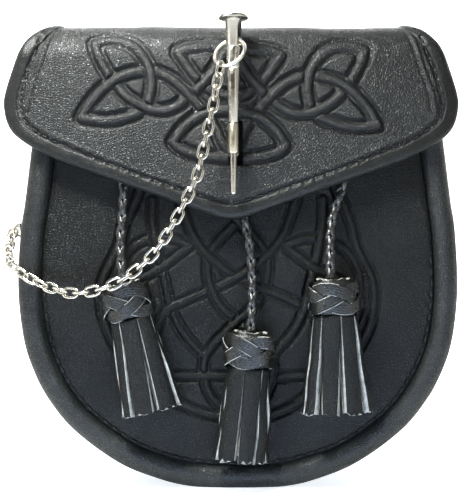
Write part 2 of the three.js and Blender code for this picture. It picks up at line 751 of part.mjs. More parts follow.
// Strips side by side round a core, cut apart by slits that widen and deepen towards the ends.
function fringeGeometry(endHalfWidth) {
  const start = HEAD_PROFILE[HEAD_PROFILE.length - 1].down + GAP;
  const pitch = 2 * Math.PI / FRINGE.strips;
  const rings = FRINGE_SECTIONS.map(({ share, slit, slitWidth }) => {
    const halfWidth = THREE.MathUtils.lerp(FRINGE.topHalfWidth, endHalfWidth, share);
    const halfDepth = THREE.MathUtils.lerp(FRINGE.topHalfDepth, FRINGE.endHalfDepth, share);
    const height = -start - FRINGE.length * share;
    const at = (angle, size) => new THREE.Vector3(
      halfWidth * size * Math.cos(angle), halfDepth * size * Math.sin(angle), height);
    return steps(FRINGE.strips).flatMap((strip) => {
      const from = pitch * (strip + slitWidth / 2);
      const to = pitch * (strip + 1 - slitWidth / 2);
      return [
        at(from, 1 - slit),
        at(from, 1),
        at((from + to) / 2, FRINGE.crown),
        at(to, 1),
        at(to, 1 - slit),
      ];
    });
  });
  const cap = sectionCap(rings[rings.length - 1].map(({ x, y }) => new THREE.Vector2(x, y)));
  return loft(rings, cap);
}

function addTassel(tassel) {
  const points = tassel.cord.map((row) => new THREE.Vector3(...row));
  const cord = new THREE.ExtrudeGeometry(new THREE.Shape(polygon(CORD_SIDES, CORD_RADIUS)), {
    steps: CORD_STEPS,
    extrudePath: new THREE.CatmullRomCurve3(points),
    bevelEnabled: false,
  });
  addPiece(`tassel_cord_${tassel.side}`, cord, leather);
  const [x, , z] = tassel.cord[0];
  const anchorFace = FRONT_PANEL.face - GAP;
  const anchor = boxBetween(
    [x - ANCHOR.width / 2, anchorFace - ANCHOR.thickness, z + GAP],
    [x + ANCHOR.width / 2, anchorFace, z + GAP + ANCHOR.height],
  );
  addPiece(`tassel_anchor_${tassel.side}`, anchor, leather);
  const fringe = fringeGeometry(tassel.endHalfWidth);
  addPiece(`tassel_head_${tassel.side}`, placeTassel(headGeometry(), tassel), leather);
  addPiece(`tassel_fringe_${tassel.side}`, placeTassel(fringe, tassel), leather);
}

addPouch();
addFlap();
addBeltLoops();
addPin();
addKeeper();
addRing();
addChain();
TASSELS.forEach(addTassel);

export default group;
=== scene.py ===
"""A sporran pouch: a black leather pouch with a pressed knotwork flap, chain, pin and tassels."""
import math

import bpy
import numpy as np
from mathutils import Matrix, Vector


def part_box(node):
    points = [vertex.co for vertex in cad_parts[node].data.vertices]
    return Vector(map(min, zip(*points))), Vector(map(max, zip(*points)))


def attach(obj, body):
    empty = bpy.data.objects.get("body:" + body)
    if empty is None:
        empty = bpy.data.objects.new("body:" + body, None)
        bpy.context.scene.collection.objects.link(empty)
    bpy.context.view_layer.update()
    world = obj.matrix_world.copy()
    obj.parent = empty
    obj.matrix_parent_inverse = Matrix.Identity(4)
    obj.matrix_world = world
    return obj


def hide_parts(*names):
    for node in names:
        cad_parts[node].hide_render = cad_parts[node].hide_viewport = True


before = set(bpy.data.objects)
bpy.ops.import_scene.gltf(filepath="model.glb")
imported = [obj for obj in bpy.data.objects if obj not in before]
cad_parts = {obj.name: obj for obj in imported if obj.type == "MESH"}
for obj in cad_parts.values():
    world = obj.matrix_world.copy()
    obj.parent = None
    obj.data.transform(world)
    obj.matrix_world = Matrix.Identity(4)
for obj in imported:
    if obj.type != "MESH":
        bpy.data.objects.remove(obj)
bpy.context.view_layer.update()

# Shapes are worked out in millimetres and written in metres.
MM = 0.001
FAR = 1e6
# The distances worked out at once, the steps between two points of a curve and the points of an
# edge that a sheet or a seam follows.
BLOCK_PAIRS = 4_000_000
CURVE_STEPS = 24
EDGE_POINTS = 1400
ROOT = "root"
# The point attribute that carries painted shade: darker pressed hollows, stitch dents and stitch
# grooves, with the burnished tops of pressed bands.
PRESS_SHADE = "press_shade"

# The camera looks straight at the front, half a metre away.
CAMERA_PLACE = (-2.6, -500.0, -55.0)
CAMERA_LENS = 75.8

# The pouch outline from the flap's shoulder to the lowest point, as half width and height.
OUTLINE = [
    (68, 49), (75.5, 38), (83, 26), (89, 11), (92.2, -8.7), (95.3, -33.5), (97.3, -47.7),
    (98.4, -72.5), (96.2, -93.8), (92, -108), (84.7, -122.2), (72.9, -136.4), (53.4, -150.6),
    (36.6, -157.6), (21.7, -161.2), (0, -162.7),
]
PANEL_FACE = -40.0
PANEL_THICKNESS = 2.0
PANEL_INSET = 11.9
PANEL_TOP = 33.0
BACK_INSET = 1.0
BACK_EDGE = [(0.9, 0), (0.25, -0.25), (0, -0.9), (0, -1.7), (0.25, -2.25), (0.9, -2.5)]
BACK_TOP = 32.0
BACK_POINTS = 260
GUSSET_WALL = 2.0
GUSSET_POINTS = 1600
GUSSET_STATIONS = 620
GUSSET_SECTION = [
    (9, -3.9), (3.4, -3.9), (1.4, -6.4), (1, -20), (1.3, -36.5), (2.7, -41.1), (6, -43.6),
    (8.8, -43.2), (10.8, -41.6), (11.7, -39), (12.6, -36.9), (17, -36.7),
]

# The flap is laid out by its distance from the centre line and its distance down from the fold.
FLAP_CENTRE_X = -3.0
FLAP_THICKNESS = 3.0
FLAP_FRONT = -45.4
FLAP_TOP = 40.3
FLAP_BACK = 0.3
FRONT_FOLD = 13.3
BACK_FOLD = 7.8
FLAP_CLEARANCE = 0.6
SIDE_DROP = (89.0, 98.0, 2.2)
FLAP_SIDE = [
    (75, -69), (76.2, -56.8), (77, -51.3), (77.6, -45.8), (80.9, -19.6), (84.7, -13), (89.8, -6.5),
    (93.4, 0), (97.9, 13), (98.8, 21), (96.1, 30), (88.6, 36.7), (75.2, 43.8),
]
FLAP_TIP = [(9, 67.6), (4.5, 69.3), (0, 69.3)]
BINDING_SECTION = [(0, 1.4), (0.5, 3), (2.2, 4), (5, 3.9), (6.2, 3.2), (6.2, 0), (0.8, 0)]
SHEET_INSET = 5.0
SLOT = {"x": -0.95, "width": 6.3, "top": 0.5, "bottom": -19.2}

# The stitch line on the right half of the flap, and the raised bead beside it.
STITCH_LINE = [
    (78, -19), (80.4, -13.2), (83.9, -4.2), (87.9, 5.4), (89.9, 13.6), (91, 20.1), (89.3, 26.4),
    (85.6, 30.2), (78.9, 34.6), (67.7, 39.2), (48.7, 46.9), (25.6, 55.2), (6, 61.4), (0, 62.4),
]
SIDE_BEAD = [(75.1, -19), (80.2, -4.2), (83.4, 5.4), (85.4, 10.4), (86.7, 14.9), (88, 22)]
FLAP_STITCH = {"pitch": 5.2, "length": 3.5, "width": 0.8}
SEAM_STITCH = {"pitch": 5.0, "length": 3.0, "width": 0.8}
BACK_STITCH = {"pitch": 5.2, "length": 3.4, "width": 0.9}
LOOP_STITCH = {"pitch": 3.9, "length": 2.6, "width": 0.9}

# The flap's knot: its place, how it is pressed in, the rows and columns of its sheet, and its
# bands' centre lines on the right half. The left half mirrors them.
FLAP_KNOT = {"x": -0.6, "tilt": 0.025}
FLAP_PRESS = {"half_width": 2.05, "ledge": 1.3, "depth": 1.6, "rise": 0.25}
FLAP_GRID = {"start": -69, "fine_from": -20, "coarse": 34, "fine": 166, "columns": 365}
FLAP_BANDS = {
    "outer_arc": [
        (58.5, -4.9), (52, -6.4), (45.5, -5.6), (39.8, -2.4), (35.8, 2.6), (34, 8.5), (33.9, 14),
        (35.4, 19.3), (38.8, 23.6), (44.9, 26.4), (52, 28), (58, 27.9), (64.2, 27.1)],
    "lower_arc": [
        (64.2, 27.1), (61.3, 21.8), (57.3, 16.8), (52.5, 12.2), (47.5, 9), (41.5, 7), (35.5, 6.3),
        (29.5, 7.2), (24.5, 9.8), (20.2, 13.4), (16.5, 17), (12.8, 20.8), (9.8, 24), (7, 28),
        (5, 32), (3.2, 36.5), (0, 40)],
    "upper_arc": [
        (58.5, -4.9), (57.2, -0.5), (55, 3.7), (51.8, 9), (46.3, 15.8), (41, 19.6), (35.6, 22.2),
        (29.6, 23), (24.6, 21.8), (20, 18.8), (15.4, 14.8), (11.5, 10.8), (7.8, 6.4), (5, 2.2),
        (3, -1), (0, -3.8)],
    "top_bar": [(0, -4.9), (8, -4.8), (13, -4.4), (18.5, -3.4), (22.5, -2)],
    "corner_bar": [
        (22.5, -2), (19.8, 1.6), (16.4, 6.4), (12, 10.9), (8.2, 13.8), (4, 15.5), (0, 16)],
    "arch": [
        (0, 22.3), (5, 22.6), (9.5, 23.6), (13.5, 25.2), (17.5, 27.9), (21, 31.5), (24.4, 36.6)],
    "lower_bar": [
        (24.4, 36.6), (22.3, 38.7), (19.3, 40.3), (15, 41.6), (10, 42.4), (5, 42.7), (0, 42.8)],
}

# The same for the front panel's knot, as the distance from the centre line and the height.
PANEL_PRESS = {"half_width": 1.75, "ledge": 0.9, "depth": 1.2, "rise": 0.1}
PANEL_GRID = {"start": PANEL_TOP, "fine_from": -14, "coarse": 21, "fine": 222, "columns": 289}
PANEL_BANDS = {
    "sweep": [
        (-25.5, -33), (-22.3, -42.5), (-19.6, -49), (-15.9, -54.7), (-12, -58.6), (-7.6, -62.6),
        (-3.2, -65.8), (3.5, -69.4), (10, -72.4), (17.5, -75.5), (25, -78.8), (30.3, -81.5),
        (35, -87), (38.5, -94)],
    "serpent": [
        (-3.6, -38), (0, -41.9), (3, -45.2), (7, -49.3), (10.8, -54.2), (12.9, -59), (13.2, -64),
        (12.6, -69), (10.9, -74), (8.5, -78.8), (4.8, -83), (-0.5, -87.6), (-5.5, -92.4),
        (-10.8, -97.8), (-14.3, -103), (-15, -109.7), (-12.8, -117.5), (-8.3, -123.4), (0, -126.5)],
    "long_arc": [
        (37.5, -33), (37.8, -40), (37.2, -47), (35.9, -55), (33.8, -64), (32, -72), (30, -80.5),
        (27.5, -86.6), (23.2, -93.4), (17.5, -99.6), (14.2, -102.6)],
    "leaf": [
        (54.5, -79), (45.7, -70.5), (36.3, -65), (31, -61.5), (26.5, -58.1), (20.8, -53.8)],
    "shoulder": [
        (20.8, -53.8), (24.1, -52.6), (29, -51), (34, -50.6), (40, -51.3), (45.5, -54),
        (50, -58.5), (53, -65), (53.8, -72), (53, -80), (50, -88), (45.5, -95)],
    "outer_ring": [
        (42.6, -24.9), (44.6, -31), (48.1, -39.5), (50.6, -46), (52, -53), (55.5, -60.5),
        (59, -68), (60.2, -75), (59.2, -84), (56, -93), (50.5, -101.8), (42, -111), (33, -118.6),
        (22, -125), (11, -128.8), (0, -130)],
    "low_bar": [(33.5, -111.3), (0, -111.3)],
}

BELT_LOOPS = {"left": -40.0, "right": 40.0}
BELT_LOOP = {"width": 24.0, "thickness": 2.4}
BELT_LOOP_LINE = [
    (1.5, 20), (1.5, 14.6), (6.6, 11.4), (7.4, 0), (6.6, -11.4), (1.5, -14.6), (1.5, -20),
]

PIN_AXIS = (-2.0, -55.0)
PIN_PROFILE = [
    (0.95, -31.8), (1.15, -31.3), (1.5, -16), (1.56, -1.6), (2.2, -1.3), (2.85, 20.9), (2.6, 21.3),
    (3.05, 21.8), (3.1, 30.2), (2.85, 30.6), (3.2, 31), (3.6, 42.4), (6.4, 42.6), (6.4, 43.9),
    (5.6, 44.3),
]
PIN_HOLE = {"z": 33.15, "radius": 1.7, "turn": -28.0}
KEEPER_TUBE = {"outer": 2.3, "inner": 1.72, "top": -1.9, "bottom": -14.4}
KEEPER_FOOT = {"width": 5.0, "thickness": 0.8, "top": -2.5, "bottom": -14.5}
KEEPER_STEM = {"width": 1.6, "top": -4.0, "bottom": -13.0}
RING_WIRE = 0.85
LINK = {"length": 8.0, "width": 5.3, "wire": 0.65}
LINK_COUNT = 37
STAPLE = {"radius": 3.2, "wire": 0.75, "length": 10.0, "width": 3.0, "thickness": 0.8}

CORD_TURN = 14.0
STRAND = {"radius": 1.38, "flat": 0.6, "reach": 1.2, "weave": 0.34}
TASSEL_Y = -48.9
HEAD = {"half_width": 11.4, "half_depth": 8.2}
KNOT = {"rounds": 3, "waves": 4, "middle": 7.8, "swing": 4.7, "weave": 0.6, "half_strap": 2.65}
HEAD_PROFILE = [(0.72, 0), (0.93, 1.2), (1, 5), (0.98, 10.5), (0.87, 14.5), (0.8, 16.2)]
FRINGE = {"top_width": 9.2, "top_depth": 6.8, "end_depth": 7.9, "thickness": 1.7}
HIDDEN_SLITS = 6
TASSELS = {
    "left": {
        "top": (-49.5, -70.6), "lean": 13.0, "end_width": 13.2, "pale": 1.0, "length": 40.0,
        "cuts": [(-4.6, -8.2), (3.2, 2.4), (8.6, 12.2)],
        "cord": [
            (-50.2, -42.5, -20), (-50.1, -42.5, -24), (-50, -42.5, -28), (-50.1, -42.5, -32),
            (-50.3, -42.5, -36), (-50.5, -42.7, -40), (-50.8, -43.1, -44), (-51, -43.8, -48),
            (-51.1, -44.7, -52), (-51, -45.8, -56), (-50.7, -46.9, -60), (-50.4, -47.7, -63),
            (-50.1, -48.3, -66), (-49.9, -48.7, -68.2), (-49.7, -48.9, -69.9),
        ],
    },
    "middle": {
        "top": (5.3, -91.4), "lean": -4.0, "end_width": 11.8, "pale": 0.5, "length": 39.0,
        "cuts": [(-8.0, -10.6), (-1.3, -2.4), (6.2, 5.2)],
        "cord": [
            (2.1, -42.5, -33), (2.2, -42.5, -36.5), (2.6, -42.5, -40), (3.3, -42.5, -44),
            (4.1, -42.5, -48), (4.8, -42.5, -52), (5.3, -42.5, -56), (5.7, -42.7, -60),
            (6, -43.2, -64.5), (6.2, -44, -69), (6.3, -45.1, -73.5), (6.2, -46.3, -78),
            (5.9, -47.5, -82.5), (5.6, -48.5, -87), (5.4, -48.9, -90.9),
        ],
    },
    "right": {
        "top": (41.2, -68.6), "lean": 1.5, "end_width": 15.2, "pale": 1.4, "length": 41.6,
        "cuts": [(-5.9, -8.6), (2.0, 1.4), (7.9, 12.4)],
        "cord": [
            (48, -42.5, -16), (47.8, -42.5, -20), (47, -42.5, -24), (45.8, -42.5, -28),
            (44.4, -42.5, -32), (43, -42.5, -36), (41.8, -42.8, -40), (40.9, -43.4, -44),
            (40.4, -44.2, -48), (40.2, -45.2, -52), (40.1, -46.3, -56), (40, -47.4, -60),
            (39.9, -48.2, -63.5), (39.8, -48.7, -66), (39.8, -48.9, -68.1),
        ],
    },
}

FLOOR_SECTION = [
    (-7000, -171), (-3000, -171), (-1200, -171), (500, -171), (640, -160), (740, -110),
    (790, -20), (800, 120), (800, 1400),
]
# Each light's name, place and target in millimetres, size in metres, power and colour.
LIGHTS = [
    ("key", (-92, -148, 160), (-20, -45, 0), (0.1, 0.07), 1.5, (0.97, 1.0, 0.98)),
    ("window", (-600, -300, 40), (0, -40, -60), (0.25, 0.6), 0.8, (1.0, 1.0, 1.0)),
    ("fill", (520, -650, 80), (0, -40, -60), (0.4, 0.6), 0.6, (1.0, 0.96, 0.82)),
    ("low", (0, -210, -150), (0, -40, -140), (0.3, 0.03), 0.33, (0.47, 0.66, 1.0)),
    ("backdrop_light", (0, 450, 700), (0, 1400, 0), (2.4, 0.4), 34, (1.0, 1.0, 1.0)),
]


# Curves and fields.

def smoothstep(value, low, high):
    """0 below low, 1 above high and a smooth rise between them."""
    share = np.clip((np.asarray(value, float) - low) / (high - low), 0, 1)
    return share * share * (3 - 2 * share)


def bell(distance, width):
    """1 at no distance, fading over about twice the width."""
    return np.exp(-(distance / width) ** 2)


def circle(count):
    """Evenly spaced angles once round."""
    return np.arange(count) * 2 * np.pi / count


def unit(vectors):
    return vectors / np.linalg.norm(vectors, axis=-1, keepdims=True)


def step_lengths(line):
    return np.linalg.norm(np.diff(line, axis=0), axis=1)


def way_along(line):
    """How far along a line each of its points lies."""
    return np.concatenate([[0], np.cumsum(step_lengths(line))])


def resample(points, count):
    """The same line with evenly spaced points."""
    points = np.asarray(points, float)
    along = way_along(points)
    wanted = np.linspace(0, along[-1], count)
    return np.column_stack([np.interp(wanted, along, column) for column in points.T])


def curve(points, count, closed=False):
    """A smooth line through the points."""
    points = np.asarray(points, float)
    if closed:
        ends = np.vstack([points[-1:], points, points[:2]])
    else:
        ends = np.vstack([2 * points[0] - points[1], points, 2 * points[-1] - points[-2]])
    before, start, end, after = ends[:-3], ends[1:-2], ends[2:-1], ends[3:]
    share = np.linspace(0, 1, CURVE_STEPS, endpoint=False)[:, None, None]
    line = 0.5 * (
        2 * start + (end - before) * share
        + (2 * before - 5 * start + 4 * end - after) * share ** 2
        + (3 * start - before - 3 * end + after) * share ** 3)
    line = line.transpose(1, 0, 2).reshape(-1, points.shape[1])
    line = np.vstack([line, line[:1] if closed else points[-1:]])
    return resample(line, count + 1)[:-1] if closed else resample(line, count)


def ripple(points, wavelength, seed, waves=14):
    """Smooth uneven waves through space, mostly between -1 and 1."""
    points = np.asarray(points, float)
    random = np.random.default_rng(seed)
    ways = unit(random.normal(size=(waves, points.shape[-1])))
    lengths = wavelength * random.uniform(0.6, 1.5, waves)
    phases = random.uniform(0, 2 * np.pi, waves)
    turns = points @ (ways / lengths[:, None]).T * 2 * np.pi + phases
    return np.sin(turns).sum(-1) / math.sqrt(waves)


def nearest(points, line, reach=FAR):
    """Each point's distance to a line and the index of the line point that is nearest."""
    flat = points.reshape(-1, points.shape[-1])
    distance = np.full(len(flat), FAR)
    index = np.zeros(len(flat), int)
    low, high = line.min(0) - reach, line.max(0) + reach
    inside = np.flatnonzero(np.all((flat > low) & (flat < high), axis=1))
    for block in np.array_split(inside, max(1, len(inside) * len(line) // BLOCK_PAIRS)):
        gaps = flat[block, None, :] - line[None]
        squares = np.einsum("ijk,ijk->ij", gaps, gaps)
        index[block] = squares.argmin(1)
        distance[block] = np.sqrt(squares[np.arange(len(block)), index[block]])
    shape = points.shape[:-1]
    return distance.reshape(shape), index.reshape(shape)


def directions(line, closed=False):
    """Unit tangents of a line."""
    if closed:
        return unit(np.roll(line, -1, 0) - np.roll(line, 1, 0))
    return unit(np.gradient(line, axis=0))


def left_of(line):
    """Unit directions to the left of a flat line."""
    along = directions(line)
    return np.column_stack([-along[:, 1], along[:, 0]])


def carried_frames(line, first, closed=False):
    """Two directions across a line, carried along it without twist."""
    tangents = directions(line, closed)
    side = np.asarray(first, float)
    sides = []
    for tangent in tangents:
        side = unit(side - tangent * (side @ tangent))
        sides.append(side)
    return np.array(sides), np.cross(tangents, sides)


# Meshes.

def grid_index(points, start=0):
    """A number for each point of a grid."""
    return start + np.arange(points[..., 0].size).reshape(points.shape[:-1])


def grid_faces(index):
    """The quads between the points of a grid, given their indices."""
    corners = [index[:-1, :-1], index[:-1, 1:], index[1:, 1:], index[1:, :-1]]
    return np.stack(corners, -1).reshape(-1, 4).tolist()


def grid_border(index):
    """The indices round the edge of a grid."""
    sides = [index[0, :-1], index[:-1, -1], index[-1, :0:-1], index[:0:-1, 0]]
    return np.concatenate(sides).tolist()


def outward(points, faces):
    """The faces, turned so that a closed solid's normals point out."""
    volume = 0.0
    for size in {len(face) for face in faces}:
        block = np.array([face for face in faces if len(face) == size])
        for k in range(1, size - 1):
            across = np.cross(points[block[:, k]], points[block[:, k + 1]])
            volume += np.einsum("ij,ij->", points[block[:, 0]], across)
    return faces if volume > 0 else [face[::-1] for face in faces]


def put(name, data, place=(0, 0, 0), turn=(0, 0, 0)):
    """A new object in the scene, placed in millimetres."""
    made = bpy.data.objects.new(name, data)
    made.location = [value * MM for value in place]
    made.rotation_euler = turn
    bpy.context.scene.collection.objects.link(made)
    return made


class Solid:
    """Closed shapes gathered into one mesh."""

    def __init__(self):
        self.points = []
        self.faces = []
        self.finishes = []
        self.count = 0

    def add(self, points, faces, finish=0):
        """Adds a closed shape with one finish, or with a list of each face's finish."""
        points = np.asarray(points, float).reshape(-1, 3)
        self.finishes += finish if isinstance(finish, list) else [finish] * len(faces)
        self.faces += [[self.count + corner for corner in face]
                       for face in outward(points, faces)]
        self.points.append(points)
        self.count += len(points)
        return self

    def sweep(self, rings, closed=False, finish=0):
        """Rings of points joined into a tube with capped ends."""
        rings = np.asarray(rings, float)
        index = grid_index(rings)
        if closed:
            index = np.vstack([index, index[:1]])
        faces = grid_faces(np.hstack([index, index[:, :1]]))
        if not closed:
            faces += [index[0, ::-1].tolist(), index[-1].tolist()]
        return self.add(rings, faces, finish)

    def mesh(self, name):
        mesh = bpy.data.meshes.new(name)
        mesh.from_pydata((np.vstack(self.points) * MM).tolist(), [], self.faces)
        return mesh

    def place(self, name, slot, finishes, replaces=(), sharp=None):
        """Puts the shapes in the scene as a piece of the pouch."""
        mesh = self.mesh(name)
        mesh.polygons.foreach_set("use_smooth", [True] * len(self.faces))
        for finish in finishes:
            mesh.materials.append(finish)
        if len(finishes) > 1:
            mesh.polygons.foreach_set("material_index", self.finishes)
        if sharp is not None:
            mesh.set_sharp_from_angle(angle=math.radians(sharp))
        mesh.update()
        piece = put(name, mesh)
        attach(piece, ROOT)
        if replaces:
            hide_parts(*replaces)
        return piece


def cut_away(piece, tool):
    """Cuts a tool's shape out of a piece and removes the tool."""
    cut = piece.modifiers.new("cut", "BOOLEAN")
    cut.operation = "DIFFERENCE"
    cut.solver = "EXACT"
    cut.object = tool
    made = bpy.data.meshes.new_from_object(
        piece.evaluated_get(bpy.context.evaluated_depsgraph_get()))
    piece.modifiers.clear()
    piece.data = made
    bpy.data.objects.remove(tool)


def set_section(line, section, sides, ups):
    """A section of (side, up) points set across a line at each of its points."""
    return line[:, None] + section[..., :1] * sides[:, None] + section[..., 1:] * ups[:, None]


def tube_rings(line, section, first, closed=False, scale=1.0):
    """A section carried along a line without twist."""
    line = np.asarray(line, float)
    scale = np.broadcast_to(scale, len(line))[:, None, None]
    return set_section(line, section * scale, *carried_frames(line, first, closed))


def strap_rings(line, section, out, closed=False):
    """A section carried along a line with its upper side facing out."""
    return set_section(line, section, unit(np.cross(directions(line, closed), out)), out)


def round_section(radius, sides=12, flat=1.0):
    """A circle, or an ellipse that is flat times as high as it is wide."""
    turns = circle(sides)
    return np.column_stack([radius * np.cos(turns), radius * flat * np.sin(turns)])


def strap_section(width, thickness, rounding=0.45, steps=3):
    """A flat strap's section with rounded corners, as side and up."""
    radius = min(width, thickness) * rounding
    points = []
    for corner, (x, y) in enumerate([(1, 1), (-1, 1), (-1, -1), (1, -1)]):
        for step in range(steps + 1):
            angle = (corner + step / steps) * np.pi / 2
            points.append((x * (width / 2 - radius) + radius * math.cos(angle),
                           y * (thickness / 2 - radius) + radius * math.sin(angle)))
    return np.array(points)


def block_rings(low, high, axis, rounding, inset, end_size):
    """A block along an axis, with rounded corners and slightly smaller ends."""
    low, high = np.array(low, float), np.array(high, float)
    middle = (low + high) / 2
    across = [other for other in range(3) if other != axis]
    section = strap_section(*(high - low)[across], rounding)
    places = (low[axis], low[axis] + inset, high[axis] - inset, high[axis])
    rings = np.empty((len(places), len(section), 3))
    for ring, place, size in zip(rings, places, (end_size, 1, 1, end_size)):
        ring[:, across] = middle[across] + section * size
        ring[:, axis] = place
    return rings


def shell(outer, inner):
    """A sheet with a fine outer face and an inner face with half its rows and columns."""
    front = grid_index(outer)
    back = grid_index(inner, front.size)
    faces = grid_faces(front) + [face[::-1] for face in grid_faces(back)]
    fine, coarse = grid_border(front), grid_border(back)
    for k, near in enumerate(coarse):
        after = coarse[(k + 1) % len(coarse)]
        last = fine[(2 * k + 2) % len(fine)]
        faces.append([last, fine[2 * k + 1], fine[2 * k], near, after])
    return Solid().add(np.vstack([outer.reshape(-1, 3), inner.reshape(-1, 3)]), faces)


# Finishes.

def feed(tree, target, inputs):
    """Links or sets a node's inputs."""
    for key, value in inputs.items():
        if isinstance(value, bpy.types.NodeSocket):
            tree.links.new(value, target.inputs[key])
        else:
            target.inputs[key].default_value = value


def node(tree, kind, inputs=None, **settings):
    made = tree.nodes.new(kind)
    for key, value in settings.items():
        setattr(made, key, value)
    feed(tree, made, inputs or {})
    return made


def math_node(tree, operation, first, second):
    return node(tree, "ShaderNodeMath", {0: first, 1: second}, operation=operation).outputs[0]


def weigh(tree, first, share, second, weight):
    """Two values added, each times its weight."""
    return math_node(tree, "ADD", math_node(tree, "MULTIPLY", first, share),
                     math_node(tree, "MULTIPLY", second, weight))


def stretch(tree, value, low, high, new_low=0.0, new_high=1.0, way="LINEAR"):
    """A value whose range from low to high is stretched to a new one."""
    return node(tree, "ShaderNodeMapRange", {
        "Value": value, "From Min": low, "From Max": high, "To Min": new_low, "To Max": new_high,
    }, interpolation_type=way).outputs["Result"]


def mix(tree, share, first, second):
    """A colour between two."""
    return node(tree, "ShaderNodeMix", {
        "Factor": share, "A": first, "B": second}, data_type="RGBA").outputs["Result"]


def bump(tree, height, strength, depth):
    return node(tree, "ShaderNodeBump", {
        "Height": height, "Strength": strength, "Distance": depth * MM}).outputs["Normal"]


def path_glow(tree, camera, glossy, rest):
    """A brightness for what the camera sees, another for reflections and a faint one for all."""
    way = node(tree, "ShaderNodeLightPath").outputs
    glow = weigh(tree, way["Is Camera Ray"], camera, way["Is Glossy Ray"], glossy)
    return math_node(tree, "ADD", glow, rest)


def new_finish(name):
    """A material with its node tree and its shader."""
    material = bpy.data.materials.new(name)
    material.use_nodes = True
    return material, material.node_tree, material.node_tree.nodes["Principled BSDF"]


def coordinates(tree, kind="Object"):
    return node(tree, "ShaderNodeTexCoord").outputs[kind]


def noise(tree, place, size, detail=2.0, roughness=0.5):
    """Noise whose features are size millimetres wide."""
    return node(tree, "ShaderNodeTexNoise", {
        "Vector": place, "Scale": 1 / (size * MM), "Detail": detail, "Roughness": roughness,
    }).outputs["Fac"]


def leather(name, dark, light, pebble, depth, roughness, glint=0.5, pressed=False):
    """Black leather: pebble grain, broad colour changes and uneven gloss; where pressed, painted
    shade darkens the pressed hollows, stitch dents and grooves, with the darker burnish of tooled
    band tops.
    """
    material, tree, shader = new_finish(name)
    place = coordinates(tree)
    cells = node(tree, "ShaderNodeTexVoronoi", {
        "Vector": place, "Scale": 1 / (pebble * MM), "Randomness": 1.0,
    }, feature="DISTANCE_TO_EDGE").outputs["Distance"]
    pillow = stretch(tree, cells, 0.0, 0.32, way="SMOOTHSTEP")
    grain = weigh(tree, pillow, 0.85, noise(tree, place, pebble * 0.7, 3.0, 0.6), 0.4)
    broad = noise(tree, place, 22, 3.0, 0.55)
    height = math_node(tree, "ADD", grain, math_node(tree, "MULTIPLY", broad, 1.5))
    # Broad random tone mixed with painted shade: the creases between pebbles are coloured darker
    # than their tops; the same value makes the creases duller.
    tone_and_crease_shade = math_node(tree, "ADD", grain, broad)
    colour = mix(tree, stretch(tree, tone_and_crease_shade, 0.8, 1.6), (*dark, 1), (*light, 1))
    # Painted shade: the attribute darkens the colour in pressed hollows, stitch dents and grooves,
    # and on burnished band tops.
    if pressed:
        press_shade = node(tree, "ShaderNodeAttribute", attribute_name=PRESS_SHADE).outputs["Fac"]
        colour = mix(tree, math_node(tree, "MULTIPLY", press_shade, 0.9), colour,
                     (*[share * 0.3 for share in dark], 1))
    feed(tree, shader, {
        "Base Color": colour, "Specular IOR Level": glint, "Normal": bump(tree, height, 1.0, depth),
        "Roughness": stretch(tree, tone_and_crease_shade, 0.8, 1.6, roughness + 0.16, roughness - 0.06)})
    return material


def suede(name, dark, light):
    """A cut leather edge: pale, dull and fibrous."""
    material, tree, shader = new_finish(name)
    place = coordinates(tree)
    fibre = noise(tree, place, 0.5, 4.0, 0.7)
    patch = noise(tree, place, 3.5)
    tone = stretch(tree, math_node(tree, "ADD", fibre, patch), 0.7, 1.25)
    feed(tree, shader, {
        "Base Color": mix(tree, tone, (*dark, 1), (*light, 1)), "Roughness": 0.85,
        "Normal": bump(tree, fibre, 0.7, 0.25)})
    return material


def nickel(name, tint, rough):
    """Polished nickel with faint scratches and duller patches."""
    material, tree, shader = new_finish(name)
    place = coordinates(tree)
    scratch = noise(tree, place, 0.35, 4.0, 0.7)
    patch = noise(tree, place, 2.5)
    feed(tree, shader, {
        "Base Color": mix(tree, patch, (*tint, 1), (*[share * 0.86 for share in tint], 1)),
        "Roughness": stretch(tree, patch, 0.3, 0.7, rough, rough + 0.14), "Metallic": 1.0,
        "Normal": bump(tree, scratch, 0.12, 0.05)})
    return material


FLAP_LEATHER = leather(
    "flap_leather", (0.0012, 0.0015, 0.0012), (0.0165, 0.0175, 0.0155), 1.0, 0.21, 0.37, glint=0.56,
    pressed=True)
PANEL_LEATHER = leather(
    "panel_leather", (0.0015, 0.002, 0.0015), (0.0125, 0.013, 0.0115), 1.05, 0.16, 0.4, glint=0.3,
    pressed=True)
# The rim's colour is lighter than the flap's and panel's: painted light for the light that the
# rolled rim catches.
RIM_LEATHER = leather(
    "rim_leather", (0.005, 0.006, 0.0055), (0.031, 0.0325, 0.0295), 1.1, 0.14, 0.4)
BORDER_LEATHER = leather(
    "border_leather", (0.004, 0.0045, 0.004), (0.02, 0.021, 0.018), 1.1, 0.09, 0.36, glint=0.4,
    pressed=True)
BACK_LEATHER = leather(
    "back_leather", (0.003, 0.0035, 0.0035), (0.02, 0.021, 0.0205), 1.1, 0.16, 0.42)
CORD_LEATHER = leather(
    "cord_leather", (0.005, 0.005, 0.004), (0.03, 0.03, 0.026), 0.9, 0.04, 0.24, glint=1.0)
HEAD_LEATHER = leather(
    "head_leather", (0.003, 0.0035, 0.0025), (0.015, 0.0155, 0.0115), 1.0, 0.06, 0.27, glint=0.65)
STRIP_LEATHER = leather(
    "strip_leather", (0.002, 0.0025, 0.002), (0.012, 0.0125, 0.0105), 0.9, 0.18, 0.42, glint=0.3)
CUT_EDGE = suede("cut_edge", (0.2, 0.2, 0.18), (0.62, 0.61, 0.56))
THREAD = leather("waxed_thread", (0.006, 0.006, 0.006), (0.03, 0.03, 0.028), 0.6, 0.1, 0.34)
NICKEL = nickel("bright_nickel", (0.76, 0.72, 0.63), 0.16)
SATIN_NICKEL = nickel("satin_nickel", (0.74, 0.68, 0.52), 0.24)


# The camera.

